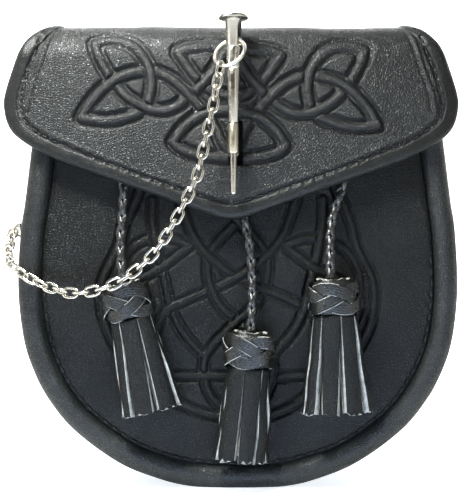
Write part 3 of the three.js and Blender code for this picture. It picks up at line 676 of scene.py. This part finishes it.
def add_camera():
    data = bpy.data.cameras.new("camera")
    data.lens = CAMERA_LENS
    data.clip_start = 0.01
    bpy.context.scene.camera = put("camera", data, CAMERA_PLACE, (math.pi / 2, 0, 0))


# Tassels.

def tassel_place(points, tassel):
    """Moves points made round the head's top, hanging down, to their tassel."""
    lean = -math.radians(tassel["lean"])
    x, y, z = np.moveaxis(np.asarray(points, float), -1, 0)
    return np.stack([
        x * math.cos(lean) + z * math.sin(lean) + tassel["top"][0],
        y + TASSEL_Y,
        z * math.cos(lean) - x * math.sin(lean) + tassel["top"][1]], -1)


def head_point(turn, down, lift):
    """A point on the knot, with the turn measured from its front."""
    size = np.interp(down, *np.array(HEAD_PROFILE).T[::-1])
    return np.stack(np.broadcast_arrays(
        (HEAD["half_width"] * size + lift) * np.sin(turn),
        -(HEAD["half_depth"] * size + lift) * np.cos(turn), -down), -1)


def add_cord(side, tassel):
    """Four strands braided round the cord's line."""
    line = curve(tassel["cord"], 150)
    across, ahead = carried_frames(line, (1, 0, 0))
    along = np.linspace(0, 1, len(line)) * step_lengths(line).sum()
    solid = Solid()
    for strand in range(4):
        sense = 1 if strand % 2 else -1
        turn = sense * (along / CORD_TURN * 2 * np.pi) + (strand // 2) * np.pi
        reach = STRAND["reach"] + sense * STRAND["weave"] * np.cos(2 * turn)
        radial = across * np.cos(turn)[:, None] + ahead * np.sin(turn)[:, None]
        section = round_section(STRAND["radius"], 14, STRAND["flat"])
        solid.sweep(strap_rings(line + radial * reach[:, None], section, radial))
    name = f"tassel_cord_{side}"
    cord = solid.place(f"braided_cord_{side}", "braided_leather", [CORD_LEATHER], [name])


def add_head(side, tassel, seed):
    """A woven leather knot: a core under one long strap that passes over and under itself."""
    turns = circle(48)[:, None]
    downs = np.append(0.4, np.linspace(0.9, 15.4, 16))[:, None]
    solid = Solid().sweep(tassel_place(head_point(turns.T, downs, -1.6), tassel))
    share = np.linspace(0, 1, 640, endpoint=False)
    turn = 2 * np.pi * KNOT["rounds"] * share + seed
    wave = 2 * np.pi * KNOT["waves"] * share
    down = KNOT["middle"] + (KNOT["swing"] + 0.4 * np.sin(turn + seed)) * np.cos(wave)
    lift = -0.75 + KNOT["weave"] * np.sin(2 * wave)
    centre = head_point(turn, down, lift)
    out = unit((head_point(turn, down, lift + 1) - centre) * (1, 1, 0))
    across = np.linspace(-1, 1, 21)
    ridges = 0.5 * np.sqrt(1 - 0.75 * across ** 4) + 0.15 * np.abs(np.cos(2.5 * np.pi * across))
    section = np.vstack([np.column_stack([KNOT["half_strap"] * across, ridges]),
                         [(2.5, -0.35), (0, -0.45), (-2.5, -0.35)]])
    rings = strap_rings(centre, section, out, closed=True)
    worn = ripple(np.column_stack([share * 40, share * 0]), 3.0, 7 + int(seed * 10)) > 0.2
    edges = (0, len(across) - 2)
    finish = [int(row and column in edges) for row in worn for column in range(len(section))]
    solid.sweep(tassel_place(rings, tassel), closed=True, finish=finish)
    ragged = 0.35 * ripple(np.hstack([np.cos(turns), np.sin(turns)]), 0.5, 3 + int(seed * 10))
    sizes = np.array([0.6, 0.66, 0.5, 0.48])
    heights = np.array([-2.5, 0.5, 0.5, -2.5]) + ragged[:, None] * (0, 1, 1, 0)
    collar = np.stack([HEAD["half_width"] * sizes * np.sin(turns),
                       -HEAD["half_depth"] * sizes * np.cos(turns), heights], -1)
    solid.sweep(tassel_place(collar, tassel), closed=True, finish=[0, 1, 0, 0] * len(turns))
    return solid.place(
        f"knot_{side}", "tassel_leather", [HEAD_LEATHER, CUT_EDGE], [f"tassel_head_{side}"])


def strip_edges(tassel):
    """The slits round the skirt: turn at the top and bottom, and the width of the pale edges."""
    edges = [(math.asin(top / FRINGE["top_width"] * 0.98),
              math.asin(min(bottom / tassel["end_width"], 0.96)), tassel["pale"])
             for top, bottom in tassel["cuts"]]
    first, last = edges[0], edges[-1]
    for k in range(1, HIDDEN_SLITS + 1):
        share = k / (HIDDEN_SLITS + 1)
        edges.append((
            last[0] + (first[0] + 2 * np.pi - last[0]) * share,
            last[1] + (first[1] + 2 * np.pi - last[1]) * share, 0.3 * tassel["pale"]))
    return edges


def add_fringe(side, tassel, seed):
    """Flared leather strips with pale cut edges and ragged ends."""
    solid = Solid()
    edges = strip_edges(tassel)
    start = HEAD_PROFILE[-1][1] - 1.2
    share = np.linspace(0, 1, 36)
    half_width = FRINGE["top_width"] + (tassel["end_width"] - FRINGE["top_width"]) * share
    half_depth = FRINGE["top_depth"] + (FRINGE["end_depth"] - FRINGE["top_depth"]) * share
    arc = np.linspace(0, 1, 11)
    for k, edge in enumerate(edges):
        following = edges[(k + 1) % len(edges)]
        wrap = 2 * np.pi if k == len(edges) - 1 else 0
        opening = (0.1 + 0.5 * tassel["pale"] * share) / half_width
        left = edge[0] + (edge[1] - edge[0]) * share + opening
        right = following[0] + wrap + (following[1] - following[0]) * share - opening
        outer_turn = (left + edge[2] * share / half_width)[:, None] * (1 - arc) + (
            right - following[2] * share / half_width)[:, None] * arc
        inner_turn = left[:, None] * arc + right[:, None] * (1 - arc)
        crown = 0.5 * share[:, None] * np.sin(np.pi * arc)[None]
        bend = 0.35 * ripple(np.column_stack([share * 3, np.full(len(share), k * 7.0)]), 1.6,
                             seed + k)
        loops = []
        for turn, lift in ((outer_turn, crown + bend[:, None]),
                           (inner_turn, crown[:, ::-1] + bend[:, None] - FRINGE["thickness"])):
            ragged = ripple(np.column_stack([turn[-1] * 9, np.full(len(arc), k)]), 2.2, seed + 3)
            length = tassel["length"] + 0.5 + 0.7 * ragged
            loops.append(np.stack([
                (half_width[:, None] + lift) * np.sin(turn),
                -(half_depth[:, None] + lift) * np.cos(turn),
                -(start + share[:, None] * length[None])], -1))
        rings = np.concatenate(loops, 1)
        pale = [int(column >= len(arc) - 1) for column in range(rings.shape[1])]
        finish = pale * (len(share) - 1) + [0, 1]
        solid.sweep(tassel_place(rings, tassel), finish=finish)
    return solid.place(
        f"strips_{side}", "tassel_leather", [STRIP_LEATHER, CUT_EDGE], [f"tassel_fringe_{side}"])


def add_anchor(side):
    """The leather tab that sews the cord's top to the front panel, hidden by the flap."""
    low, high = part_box(f"tassel_anchor_{side}")
    rings = block_rings(np.array(low) / MM, np.array(high) / MM, 2, 0.3, 0.4, 0.94)
    Solid().sweep(rings).place(
        f"cord_anchor_{side}", "smooth_leather", [BORDER_LEATHER], [f"tassel_anchor_{side}"])


def add_tassels():
    for seed, (side, tassel) in enumerate(TASSELS.items()):
        head = add_head(side, tassel, 0.9 + 2.1 * seed)
        fringe = add_fringe(side, tassel, 20 * seed + 5)
        add_cord(side, tassel)
        add_anchor(side)


# The pouch body.

def pouch_edge(count=EDGE_POINTS):
    """The outline from the left shoulder round the bottom to the right, and its inward way."""
    left = [(-width, z) for width, z in OUTLINE]
    line = curve(left + [(-x, z) for x, z in left[-2::-1]], count)
    return line, left_of(line)


def under_flap(y):
    """The height below which a point at this depth is clear of the flap."""
    reach = FRONT_FOLD - FLAP_CLEARANCE
    front = FLAP_TOP - FRONT_FOLD + np.sqrt(np.maximum(
        reach ** 2 - (y - FLAP_FRONT - FRONT_FOLD) ** 2, 0))
    back_reach = BACK_FOLD - FLAP_CLEARANCE
    back = FLAP_TOP - BACK_FOLD + np.sqrt(np.maximum(
        back_reach ** 2 - np.maximum(y - FLAP_BACK + BACK_FOLD, 0) ** 2, 0))
    return np.where(y < FLAP_FRONT + FRONT_FOLD, front, back)


def add_gusset():
    """The rolled rim and side wall, swept round the pouch and puckered at its front seam."""
    outer = curve(GUSSET_SECTION, 44)
    inner = (outer + GUSSET_WALL * left_of(outer))[::-3]
    line, inward = pouch_edge(GUSSET_POINTS)
    loops = []
    for inset, y in np.vstack([outer, inner]):
        points = line + inward * inset
        below = np.flatnonzero(points[:, 1] < under_flap(y))
        kept = resample(points[below[0]:below[-1] + 1], GUSSET_STATIONS)
        loops.append(np.insert(kept, 1, y, axis=1))
    rings = np.array(loops).transpose(1, 0, 2)
    front = (outer[:, 1] < -30) * 1.0
    seam = smoothstep(outer[:, 0], 5.0, 9.0) * (outer[:, 1] < -38)
    face = rings[:, :len(outer)]
    pucker = ripple(face * (1, 0.12, 1), 7.0, 11)
    broad = ripple(face, 38.0, 12)
    face[..., 1] += 0.14 * pucker * seam + 0.05 * pucker * front + 0.25 * broad * front
    Solid().sweep(rings).place("rolled_rim", "smooth_leather", [RIM_LEATHER], ["gusset"])


def sewn_dents(points, path, stitch):
    """Each point's distance to a sewn path, and how deep a stitch draws it in, up to 1."""
    along = way_along(path)
    pitch = along[-1] / max(1, round(along[-1] / stitch["pitch"]))
    distance, spot = nearest(points, path)
    off_middle = np.abs(along[spot] / pitch % 1 - 0.5) * pitch
    drawn = 1 - smoothstep(off_middle, stitch["length"] / 2 - 0.3, stitch["length"] / 2 + 0.5)
    return distance, drawn * bell(distance, 0.75)


def find_crossings(lines, reach=0.6, margin=6, apart=8):
    """For each band, the places where it passes under another one, over and under in turn."""
    crossings = []
    for first, line in enumerate(lines):
        for second in range(first + 1, len(lines)):
            gaps = np.linalg.norm(line[:, None] - lines[second][None], axis=-1)
            last = -apart - 1
            for spot in np.flatnonzero(gaps.min(1) < reach):
                other = int(gaps[spot].argmin())
                inside = margin < spot < len(line) - margin and (
                    margin < other < len(lines[second]) - margin)
                if inside and spot - last > apart:
                    crossings.append({"place": line[spot], first: int(spot), second: other})
                last = spot
    under = {}
    for band in range(len(lines)):
        above = False
        for crossing in sorted((c for c in crossings if band in c), key=lambda c: c[band]):
            if "under" not in crossing:
                other = next(key for key in crossing if key not in (band, "place"))
                crossing["under"], crossing["over"] = (band, other) if above else (other, band)
                under.setdefault(crossing["under"], []).append(
                    (crossing["place"], crossing["over"]))
            above = crossing["over"] == band
    return under


def band_field(points, bands, half_width, ledge, depth, rise):
    """The height of pressed bands: each lies in a ledge and passes over or under the others."""
    lines = []
    for line in bands.values():
        smooth = curve(line, max(60, int(len(line) * 28)))
        lines += [smooth, smooth * (-1, 1)]
    fields = [nearest(points, line, half_width + ledge + 1.5)[0] for line in lines]
    crossings = find_crossings(lines)
    closest = np.min(fields, axis=0) - half_width
    height = -depth * (1 - smoothstep(closest, ledge - 0.35, ledge + 0.8))
    for k, field in enumerate(fields):
        share = np.clip(1 - (field / half_width) ** 2, 0, 1)
        ridge = -depth + (depth + rise) * share ** 0.6
        for place, over in crossings.get(k, []):
            near = 1 - smoothstep(np.linalg.norm(points - place, axis=-1), 3.6, 4.6)
            cover = 1 - smoothstep(fields[over], half_width + 0.1, half_width + 0.75)
            ridge = ridge - depth * 1.3 * near * cover
        height = np.where(field < half_width, np.maximum(height, ridge), height)
    return height


def sheet_grid(left, grid, end):
    """A grid with an odd number of rows across a sheet, fine where its knot is pressed."""
    rows = np.concatenate([np.linspace(grid["start"], grid["fine_from"], grid["coarse"])[:-1],
                           np.linspace(grid["fine_from"], end, grid["fine"])])
    rows = rows[:len(rows) - (len(rows) + 1) % 2]
    order = np.argsort(left[:, 1])
    half = np.interp(rows, left[order, 1], -left[order, 0])
    share = np.linspace(-1, 1, grid["columns"])
    return np.stack([half[:, None] * share, rows[:, None] * np.ones(len(share))], -1)


def add_front_panel():
    """The front panel, pressed with a knot that the tassels hang over."""
    line, inward = pouch_edge()
    edge = line + inward * PANEL_INSET
    left = edge[:len(edge) // 2]
    flat = sheet_grid(left, PANEL_GRID, left[:, 1].min() + 0.15)
    relief = band_field(flat, PANEL_BANDS, **PANEL_PRESS)
    edge_gap = nearest(flat, edge)[0]
    dents = sewn_dents(flat, panel_seam(), SEAM_STITCH)[1] * smoothstep(-flat[..., 1], 58, 110)
    soft = 0.35 * ripple(flat, 46.0, 31) - 0.25
    roll = -1.0 * (1 - smoothstep(edge_gap, 0, 1.1)) - 0.35 * bell(edge_gap - 1.3, 0.5)
    roll += 0.12 * ripple(flat, 5.0, 32) * bell(edge_gap - 2.5, 1.6)
    lift = relief + soft + roll - 0.7 * dents
    outer = np.stack([flat[..., 0], PANEL_FACE - lift, flat[..., 1]], -1)
    inner = np.insert(flat[::2, ::2], 1, PANEL_FACE + PANEL_THICKNESS, axis=2)
    panel = shell(outer, inner).place(
        "front_panel_leather", "grained_leather", [PANEL_LEATHER], ["front_panel"])
    # Painted shade in the pressed hollows and the lower seam's stitch dents, with the burnished
    # band tops.
    press_shade = np.clip(-relief / 0.9, 0, 1) ** 1.2 + 0.2 * smoothstep(relief, 0.02, 0.08)
    store_press_shade(panel, press_shade + 0.8 * dents)


def add_back_panel():
    """The plain back panel with softened edges."""
    line, inward = pouch_edge(900)
    rings = []
    for inset, y in BACK_EDGE:
        edge = line + inward * (BACK_INSET + inset)
        kept = resample(edge[edge[:, 1] < BACK_TOP - inset], BACK_POINTS)
        rings.append(np.insert(kept, 1, y, axis=1))
    Solid().sweep(rings).place(
        "back_panel_leather", "smooth_leather", [BACK_LEATHER], ["back_panel"])


def add_belt_loops():
    """Two leather loops on the back, stitched above and below the belt."""
    for side, x in BELT_LOOPS.items():
        line = curve([(x, y, z) for y, z in BELT_LOOP_LINE], 80)
        section = strap_section(BELT_LOOP["width"], BELT_LOOP["thickness"], 0.4)
        Solid().sweep(tube_rings(line, section, (1, 0, 0))).place(
            f"loop_leather_{side}", "smooth_leather", [BACK_LEATHER], [f"belt_loop_{side}"])


# The flap.

def fold_point(down, lift):
    """The flap's section before its sides drop."""
    down, lift = np.broadcast_arrays(np.asarray(down, float), np.asarray(lift, float))
    front_y, front_z = FLAP_FRONT + FRONT_FOLD, FLAP_TOP - FRONT_FOLD
    back_y, back_z = FLAP_BACK - BACK_FOLD, FLAP_TOP - BACK_FOLD
    past_front = -down - FRONT_FOLD * np.pi / 2
    past_top = past_front - (back_y - front_y)
    past_back = past_top - BACK_FOLD * np.pi / 2
    front_angle = np.clip(-down / FRONT_FOLD, 0, np.pi / 2)
    back_angle = np.clip(past_top / BACK_FOLD, 0, np.pi / 2)
    y = np.where(
        past_top > 0, back_y + (BACK_FOLD + lift) * np.sin(back_angle),
        np.where(past_front > 0, front_y + past_front,
                 front_y - (FRONT_FOLD + lift) * np.cos(front_angle)))
    z = np.where(
        past_top > 0, back_z + (BACK_FOLD + lift) * np.cos(back_angle) - np.maximum(past_back, 0),
        front_z + (FRONT_FOLD + lift) * np.sin(front_angle) - np.maximum(down, 0))
    return y, z


def flap_point(x, down, lift):
    """A point on the flap, lift above its inner face, in the pouch's place."""
    drop = SIDE_DROP[2] * smoothstep(np.abs(x), SIDE_DROP[0], SIDE_DROP[1])
    y, z = fold_point(down, lift - drop)
    return np.stack(np.broadcast_arrays(x + FLAP_CENTRE_X, y, z), -1)


def flap_edge(count=EDGE_POINTS):
    """The flap's edge from the back down the left side, round the point and back, with its
    inward way."""
    side = curve(FLAP_SIDE, 200)
    straight = np.linspace(side[-1], FLAP_TIP[0], 80)[1:]
    share = np.linspace(0, 1, 14)[1:, None]
    start, bend, end = np.array(FLAP_TIP, float)
    tip = start * (1 - share) ** 2 + 2 * bend * share * (1 - share) + end * share ** 2
    right = np.vstack([side, straight, tip])
    line = resample(np.vstack([right * (-1, 1), right[-2::-1]]), count)
    return line, -left_of(line)


def flap_seam():
    """The flap's stitch line from one side of the fold round the point to the other."""
    half = curve(STITCH_LINE, 400)
    return np.vstack([half * (-1, 1), half[-2::-1]])


def add_flap():
    """The flap: pebbled leather pressed with a knot, over the fold and down the back."""
    line, inward = flap_edge()
    left = (line + inward * SHEET_INSET)[:len(line) // 2 + 1]
    flat = sheet_grid(left, FLAP_GRID, left[:, 1].max() - 0.1)
    upright = flat - FLAP_KNOT["tilt"] * flat[..., :1] * (0, 1) - (FLAP_KNOT["x"], 0)
    relief = band_field(upright, FLAP_BANDS, **FLAP_PRESS)
    # Painted shade in the pressed hollows, with the burnished band tops.
    press_shade = np.clip(-relief / 1.3, 0, 1) ** 1.2 + 0.2 * smoothstep(relief, 0.03, 0.14)
    relief = relief * (0.8 + 0.2 * smoothstep(flat[..., 1], -7, 6))
    seam, dents = sewn_dents(flat, flap_seam(), FLAP_STITCH)
    mirrored = np.stack([np.abs(flat[..., 0]), flat[..., 1]], -1)
    bead = nearest(mirrored, curve(SIDE_BEAD, 160), 4)[0]
    inner_side = smoothstep(nearest(flat, line)[0], 6.6, 7.6)
    groove = -0.25 * bell(seam, 0.8) - 0.75 * dents - 0.4 * bell(bead - 1.5, 0.5)
    ridge = 0.3 * bell(seam - 2.1, 0.8) * inner_side + 0.6 * bell(bead, 0.75)
    soft = 0.25 * ripple(flat, 40.0, 41)
    outer = flap_point(flat[..., 0], flat[..., 1], FLAP_THICKNESS + relief + groove + ridge + soft)
    inner = flap_point(flat[::2, ::2, 0], flat[::2, ::2, 1], 0.0)
    flap = shell(outer, inner).place("flap_cover", "grained_leather", [FLAP_LEATHER], ["flap"])
    # Painted shade in the stitch dents and along the stitch groove.
    store_press_shade(flap, press_shade + 0.9 * dents + 0.35 * bell(seam, 0.6))
    cut_slot(flap)


def cut_slot(flap):
    """Cuts the slot that the pin's keeper passes through."""
    middle = (SLOT["top"] + SLOT["bottom"]) / 2
    section = strap_section(SLOT["width"], SLOT["top"] - SLOT["bottom"], 0.15)
    rings = [[(SLOT["x"] + x, y, middle + z) for x, z in section] for y in (-56, -40)]
    cut_away(flap, Solid().sweep(rings).place("slot_tool", "grained_leather", [FLAP_LEATHER]))


def store_press_shade(piece, press_shade):
    """Stores each point's painted shade for the finish: pressed hollows, stitch dents and stitch
    grooves drawn darker, and the burnished tops of pressed bands.
    """
    mesh = piece.data
    share = np.zeros(len(mesh.vertices))
    share[:press_shade.size] = press_shade.ravel()
    mesh.attributes.new(PRESS_SHADE, "FLOAT", "POINT").data.foreach_set("value", share)


def add_binding():
    """The smooth border folded over the flap's edge."""
    line, inward = flap_edge(1000)
    smooth = unit(np.array([
        np.convolve(np.pad(column, 6, mode="edge"), np.ones(13) / 13, "valid")
        for column in inward.T]).T)
    section = curve(BINDING_SECTION, 38, closed=True)
    flat = line[:, None] + smooth[:, None] * section[None, :, :1]
    wave = 0.05 * ripple(flat, 7.0, 51) + 0.14 * ripple(flat, 24.0, 52)
    top = smoothstep(section[:, 1], 1.5, 3.2)
    dents = sewn_dents(flat, flap_seam(), FLAP_STITCH)[1] * top
    lift = section[None, :, 1] + wave * top - 0.8 * dents
    border = Solid().sweep(flap_point(flat[..., 0], flat[..., 1], lift)).place(
        "flap_border", "smooth_leather", [BORDER_LEATHER], ["flap_binding"])
    # Painted shade in the stitch dents.
    store_press_shade(border, dents)


def add_stitches(name, places, along, out, stitch):
    """Thread stitches, each a short bowed capsule sunk into the leather."""
    solid = Solid()
    share = np.linspace(-1, 1, 9)
    bow = 0.35 * (1 - share ** 2) - 0.25
    size = np.sqrt(np.maximum(1 - share ** 4, 0.02))
    section = round_section(stitch["width"] / 2, 8)
    for place, way, up in zip(places, unit(along), unit(out)):
        line = place + way * share[:, None] * stitch["length"] / 2 + up * bow[:, None]
        solid.sweep(tube_rings(line, section, up, scale=size))
    solid.place(name, "smooth_leather", [THREAD])


def sewn_line(path, pitch):
    """The middle of each stitch on a path, and a point a little further on."""
    spots = resample(path, 4 * max(1, round(step_lengths(path).sum() / pitch)) + 1)
    return spots[2::4], spots[3::4]


def add_flap_stitches():
    spots, ahead = sewn_line(flap_seam(), FLAP_STITCH["pitch"])
    on_border = 1 - smoothstep(nearest(spots, flap_edge()[0])[0], 5.4, 6.4)
    lift = FLAP_THICKNESS - 0.75 + 0.95 * on_border
    base, above = (flap_point(*spots.T, height) for height in (lift, lift + 1))
    front = flap_point(*ahead.T, lift)
    add_stitches("flap_stitches", base, front - base, above - base, FLAP_STITCH)


def panel_seam():
    """The line that sews the front panel to the rim."""
    line, inward = pouch_edge()
    path = line + inward * (PANEL_INSET + 1.3)
    return path[path[:, 1] < -58]


def flat_stitches(name, path, y, out, stitch):
    """Stitches along a path of x and height, sunk into a face at depth y."""
    spots, ahead = sewn_line(np.array(path, float), stitch["pitch"])
    base, front = (np.insert(points, 1, y - 0.3 * out, axis=1) for points in (spots, ahead))
    add_stitches(name, base, front - base, np.broadcast_to((0.0, out, 0.0), base.shape), stitch)


def add_flat_stitches():
    """The seams of the front panel, the back, the flap's back and the belt loops."""
    flat_stitches("seam_stitches", panel_seam(), PANEL_FACE + 0.4, -1.0, SEAM_STITCH)
    line, inward = pouch_edge()
    edge = line + inward * 5.0
    flat_stitches("back_edge_stitches", edge[edge[:, 1] < 16], 0.0, 1.0, BACK_STITCH)
    flat_stitches("flap_back_stitches", [(-67, 23.2), (61, 23.2)], FLAP_BACK + FLAP_THICKNESS, 1.0,
                  BACK_STITCH)
    half = BELT_LOOP["width"] / 2 - 2.2
    face = BELT_LOOP_LINE[0][0] + BELT_LOOP["thickness"] / 2
    for side, x in BELT_LOOPS.items():
        for end, height in (("top", 18.2), ("bottom", -18.2)):
            flat_stitches(f"loop_stitches_{side}_{end}", [(x - half, height), (x + half, height)],
                          face, 1.0, LOOP_STITCH)


# Metal.

def lathe(profile, sides=48):
    """A turned solid about the pin's axis."""
    turns = circle(sides)
    return [np.column_stack([
        PIN_AXIS[0] + radius * np.cos(turns), PIN_AXIS[1] + radius * np.sin(turns),
        np.full(sides, height)]) for radius, height in profile]


def rounded_profile(profile, radius=0.16):
    """Cuts each corner of a profile with two points."""
    points = np.array(profile, float)
    rounded = [points[0]]
    for before, corner, after in zip(points[:-2], points[1:-1], points[2:]):
        for neighbour in (before, after):
            gap = np.linalg.norm(neighbour - corner)
            rounded.append(corner + (neighbour - corner) * min(radius / gap, 0.4))
    rounded.append(points[-1])
    return rounded


def add_pin():
    """The turned pin, with a hole across its head for the ring."""
    pin = Solid().sweep(lathe(rounded_profile(PIN_PROFILE))).place(
        "pin_turned", "nickel", [NICKEL], ["pin"], sharp=50)
    turn = math.radians(PIN_HOLE["turn"])
    way = 6 * np.array([math.cos(turn), math.sin(turn), 0])
    middle = np.array([*PIN_AXIS, PIN_HOLE["z"]])
    section = round_section(PIN_HOLE["radius"], 24)
    drill = Solid().sweep(tube_rings([middle - way, middle + way], section, (0, 0, 1)))
    cut_away(pin, drill.place("drill_tool", "nickel", [NICKEL]))


def node_points(name):
    """The corners of a solid in the frame."""
    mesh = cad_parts[name].data
    points = np.empty(len(mesh.vertices) * 3)
    mesh.vertices.foreach_get("co", points)
    return np.unique(points.reshape(-1, 3).round(7), axis=0) / MM


def main_axes(points):
    """The middle of a set of points and its axes from longest to shortest."""
    middle = points.mean(0)
    return middle, np.linalg.svd(points - middle, full_matrices=False)[2]


def add_chain():
    """Oval links, each where its solid in the frame lies."""
    arc = LINK["width"] / 2 - LINK["wire"]
    straight = LINK["length"] / 2 - LINK["wire"] - arc
    turns = circle(44)[:, None]
    long, wide = arc * np.cos(turns) + straight * np.tanh(3 * np.cos(turns)), arc * np.sin(turns)
    section = round_section(LINK["wire"])
    for link in range(1, LINK_COUNT + 1):
        name = f"chain_link_{link:02d}"
        middle, (along, across, normal) = main_axes(node_points(name))
        rings = tube_rings(middle + long * along + wide * across, section, normal, closed=True)
        Solid().sweep(rings, closed=True).place(f"link_{link:02d}", "nickel", [NICKEL], [name])


def add_staple():
    """The half ring on a rounded plate that holds the chain to the pouch's side."""
    points = node_points("chain_staple")
    right = points[:, 0].max()
    plate = points[points[:, 0] > right - STAPLE["thickness"] - 0.05]
    middle = (plate.min(0) + plate.max(0)) / 2
    upward = main_axes(plate)[1][0] * (0, 1, 1)
    upward /= np.linalg.norm(upward)
    out = np.array([-1.0, 0, 0])
    aside = np.cross(out, upward)
    centre = middle * (0, 1, 1)
    centre[0] = points[:, 0].min() + STAPLE["wire"] + STAPLE["radius"]
    turns = np.linspace(-np.pi / 2, np.pi / 2, 33)[:, None]
    line = centre + STAPLE["radius"] * (np.cos(turns) * out + np.sin(turns) * upward)
    solid = Solid()
    solid.sweep(tube_rings(line, round_section(STAPLE["wire"], 14), aside))
    section = strap_section(STAPLE["length"], STAPLE["width"], 0.48, 6)
    rings = []
    for share, size in ((0.0, 0.94), (0.25, 1), (0.75, 1), (1.0, 0.94)):
        place = centre * (0, 1, 1) + (right - STAPLE["thickness"] * (1 - share), 0, 0)
        rings.append(place + size * (section[:, :1] * upward + section[:, 1:] * aside))
    solid.sweep(rings)
    solid.place("staple_loop", "nickel", [NICKEL], ["chain_staple"], sharp=50)


def add_pin_ring():
    """The ring through the pin's head, where its solid in the frame lies."""
    points = node_points("pin_ring")
    middle, (first, second, normal) = main_axes(points)
    radius = np.linalg.norm(points - middle, axis=1).max() - RING_WIRE
    turns = circle(72)[:, None]
    line = middle + radius * (np.cos(turns) * first + np.sin(turns) * second)
    rings = tube_rings(line, round_section(RING_WIRE, 14), normal, closed=True)
    Solid().sweep(rings, closed=True).place("split_ring", "nickel", [NICKEL], ["pin_ring"])


def add_keeper():
    """The tube that holds the pin, its stem through the slot and its foot behind the flap."""
    outer, inner, top, bottom = KEEPER_TUBE.values()
    loop = [(outer, bottom + 0.2), (outer, top - 0.2), (outer - 0.12, top), (inner, top),
            (inner, bottom), (outer - 0.12, bottom)]
    solid = Solid().sweep(lathe(loop, 40), closed=True)
    low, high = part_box("pin_keeper")
    back = high[1] / MM
    for part, front, rear in ((KEEPER_FOOT, back - KEEPER_FOOT["thickness"], back),
                              (KEEPER_STEM, PIN_AXIS[1] + outer - 0.3, back - 0.2)):
        left, right = PIN_AXIS[0] - part["width"] / 2, PIN_AXIS[0] + part["width"] / 2
        solid.sweep(block_rings((left, front, part["bottom"]), (right, rear, part["top"]), 1, 0.2,
                                0.12, 0.97))
    solid.place("keeper_tube", "nickel", [SATIN_NICKEL], ["pin_keeper"], sharp=40)


# The room.

def add_stage():
    """A pale floor that sweeps up into a backdrop."""
    front = curve(FLOOR_SECTION, 90)
    loop = np.vstack([front, (front + 12 * left_of(front))[::-1]])
    mesh = Solid().sweep([np.insert(loop, 0, x, axis=1) for x in (-6000, 6000)]).mesh("floor")
    material, tree, shader = new_finish("pale_floor")
    feed(tree, shader, {
        "Base Color": (0.9, 0.9, 0.9, 1), "Roughness": 0.9, "Emission Color": (0.92, 0.96, 1, 1),
        "Emission Strength": path_glow(tree, 0.8, 0.3, 0.05)})
    mesh.materials.append(material)
    floor = put("floor", mesh)


def add_light(name, place, target, size, power, colour):
    """An area light that points at its target."""
    data = bpy.data.lights.new(name, "AREA")
    data.shape = "RECTANGLE"
    data.size, data.size_y = size
    data.energy = power
    data.color = colour
    way = np.array(target, float) - np.array(place, float)
    put(name, data, place, (
        math.atan2(math.hypot(way[0], way[1]), -way[2]), 0,
        math.atan2(way[1], way[0]) - math.pi / 2))


def add_lights():
    """The studio: bright to the sides and behind for reflections, and five area lights."""
    scene = bpy.context.scene
    scene.world = bpy.data.worlds.new("studio")
    scene.world.use_nodes = True
    tree = scene.world.node_tree
    sides = node(tree, "ShaderNodeSeparateXYZ", {0: coordinates(tree, "Generated")})
    mirrored = stretch(tree, sides.outputs["Y"], -0.75, 0.1, 0.05, 0.6, "SMOOTHSTEP")
    feed(tree, tree.nodes["Background"], {
        "Strength": path_glow(tree, 0.8, mirrored, 0.02), "Color": (0.96, 0.98, 1.0, 1)})
    scene.view_settings.view_transform = "Standard"
    for light in LIGHTS:
        add_light(*light)


add_camera()
add_tassels()
add_gusset()
add_front_panel()
add_back_panel()
add_belt_loops()
add_flap()
add_binding()
add_flap_stitches()
add_flat_stitches()
add_pin()
add_keeper()
add_pin_ring()
add_chain()
add_staple()
add_stage()
add_lights()
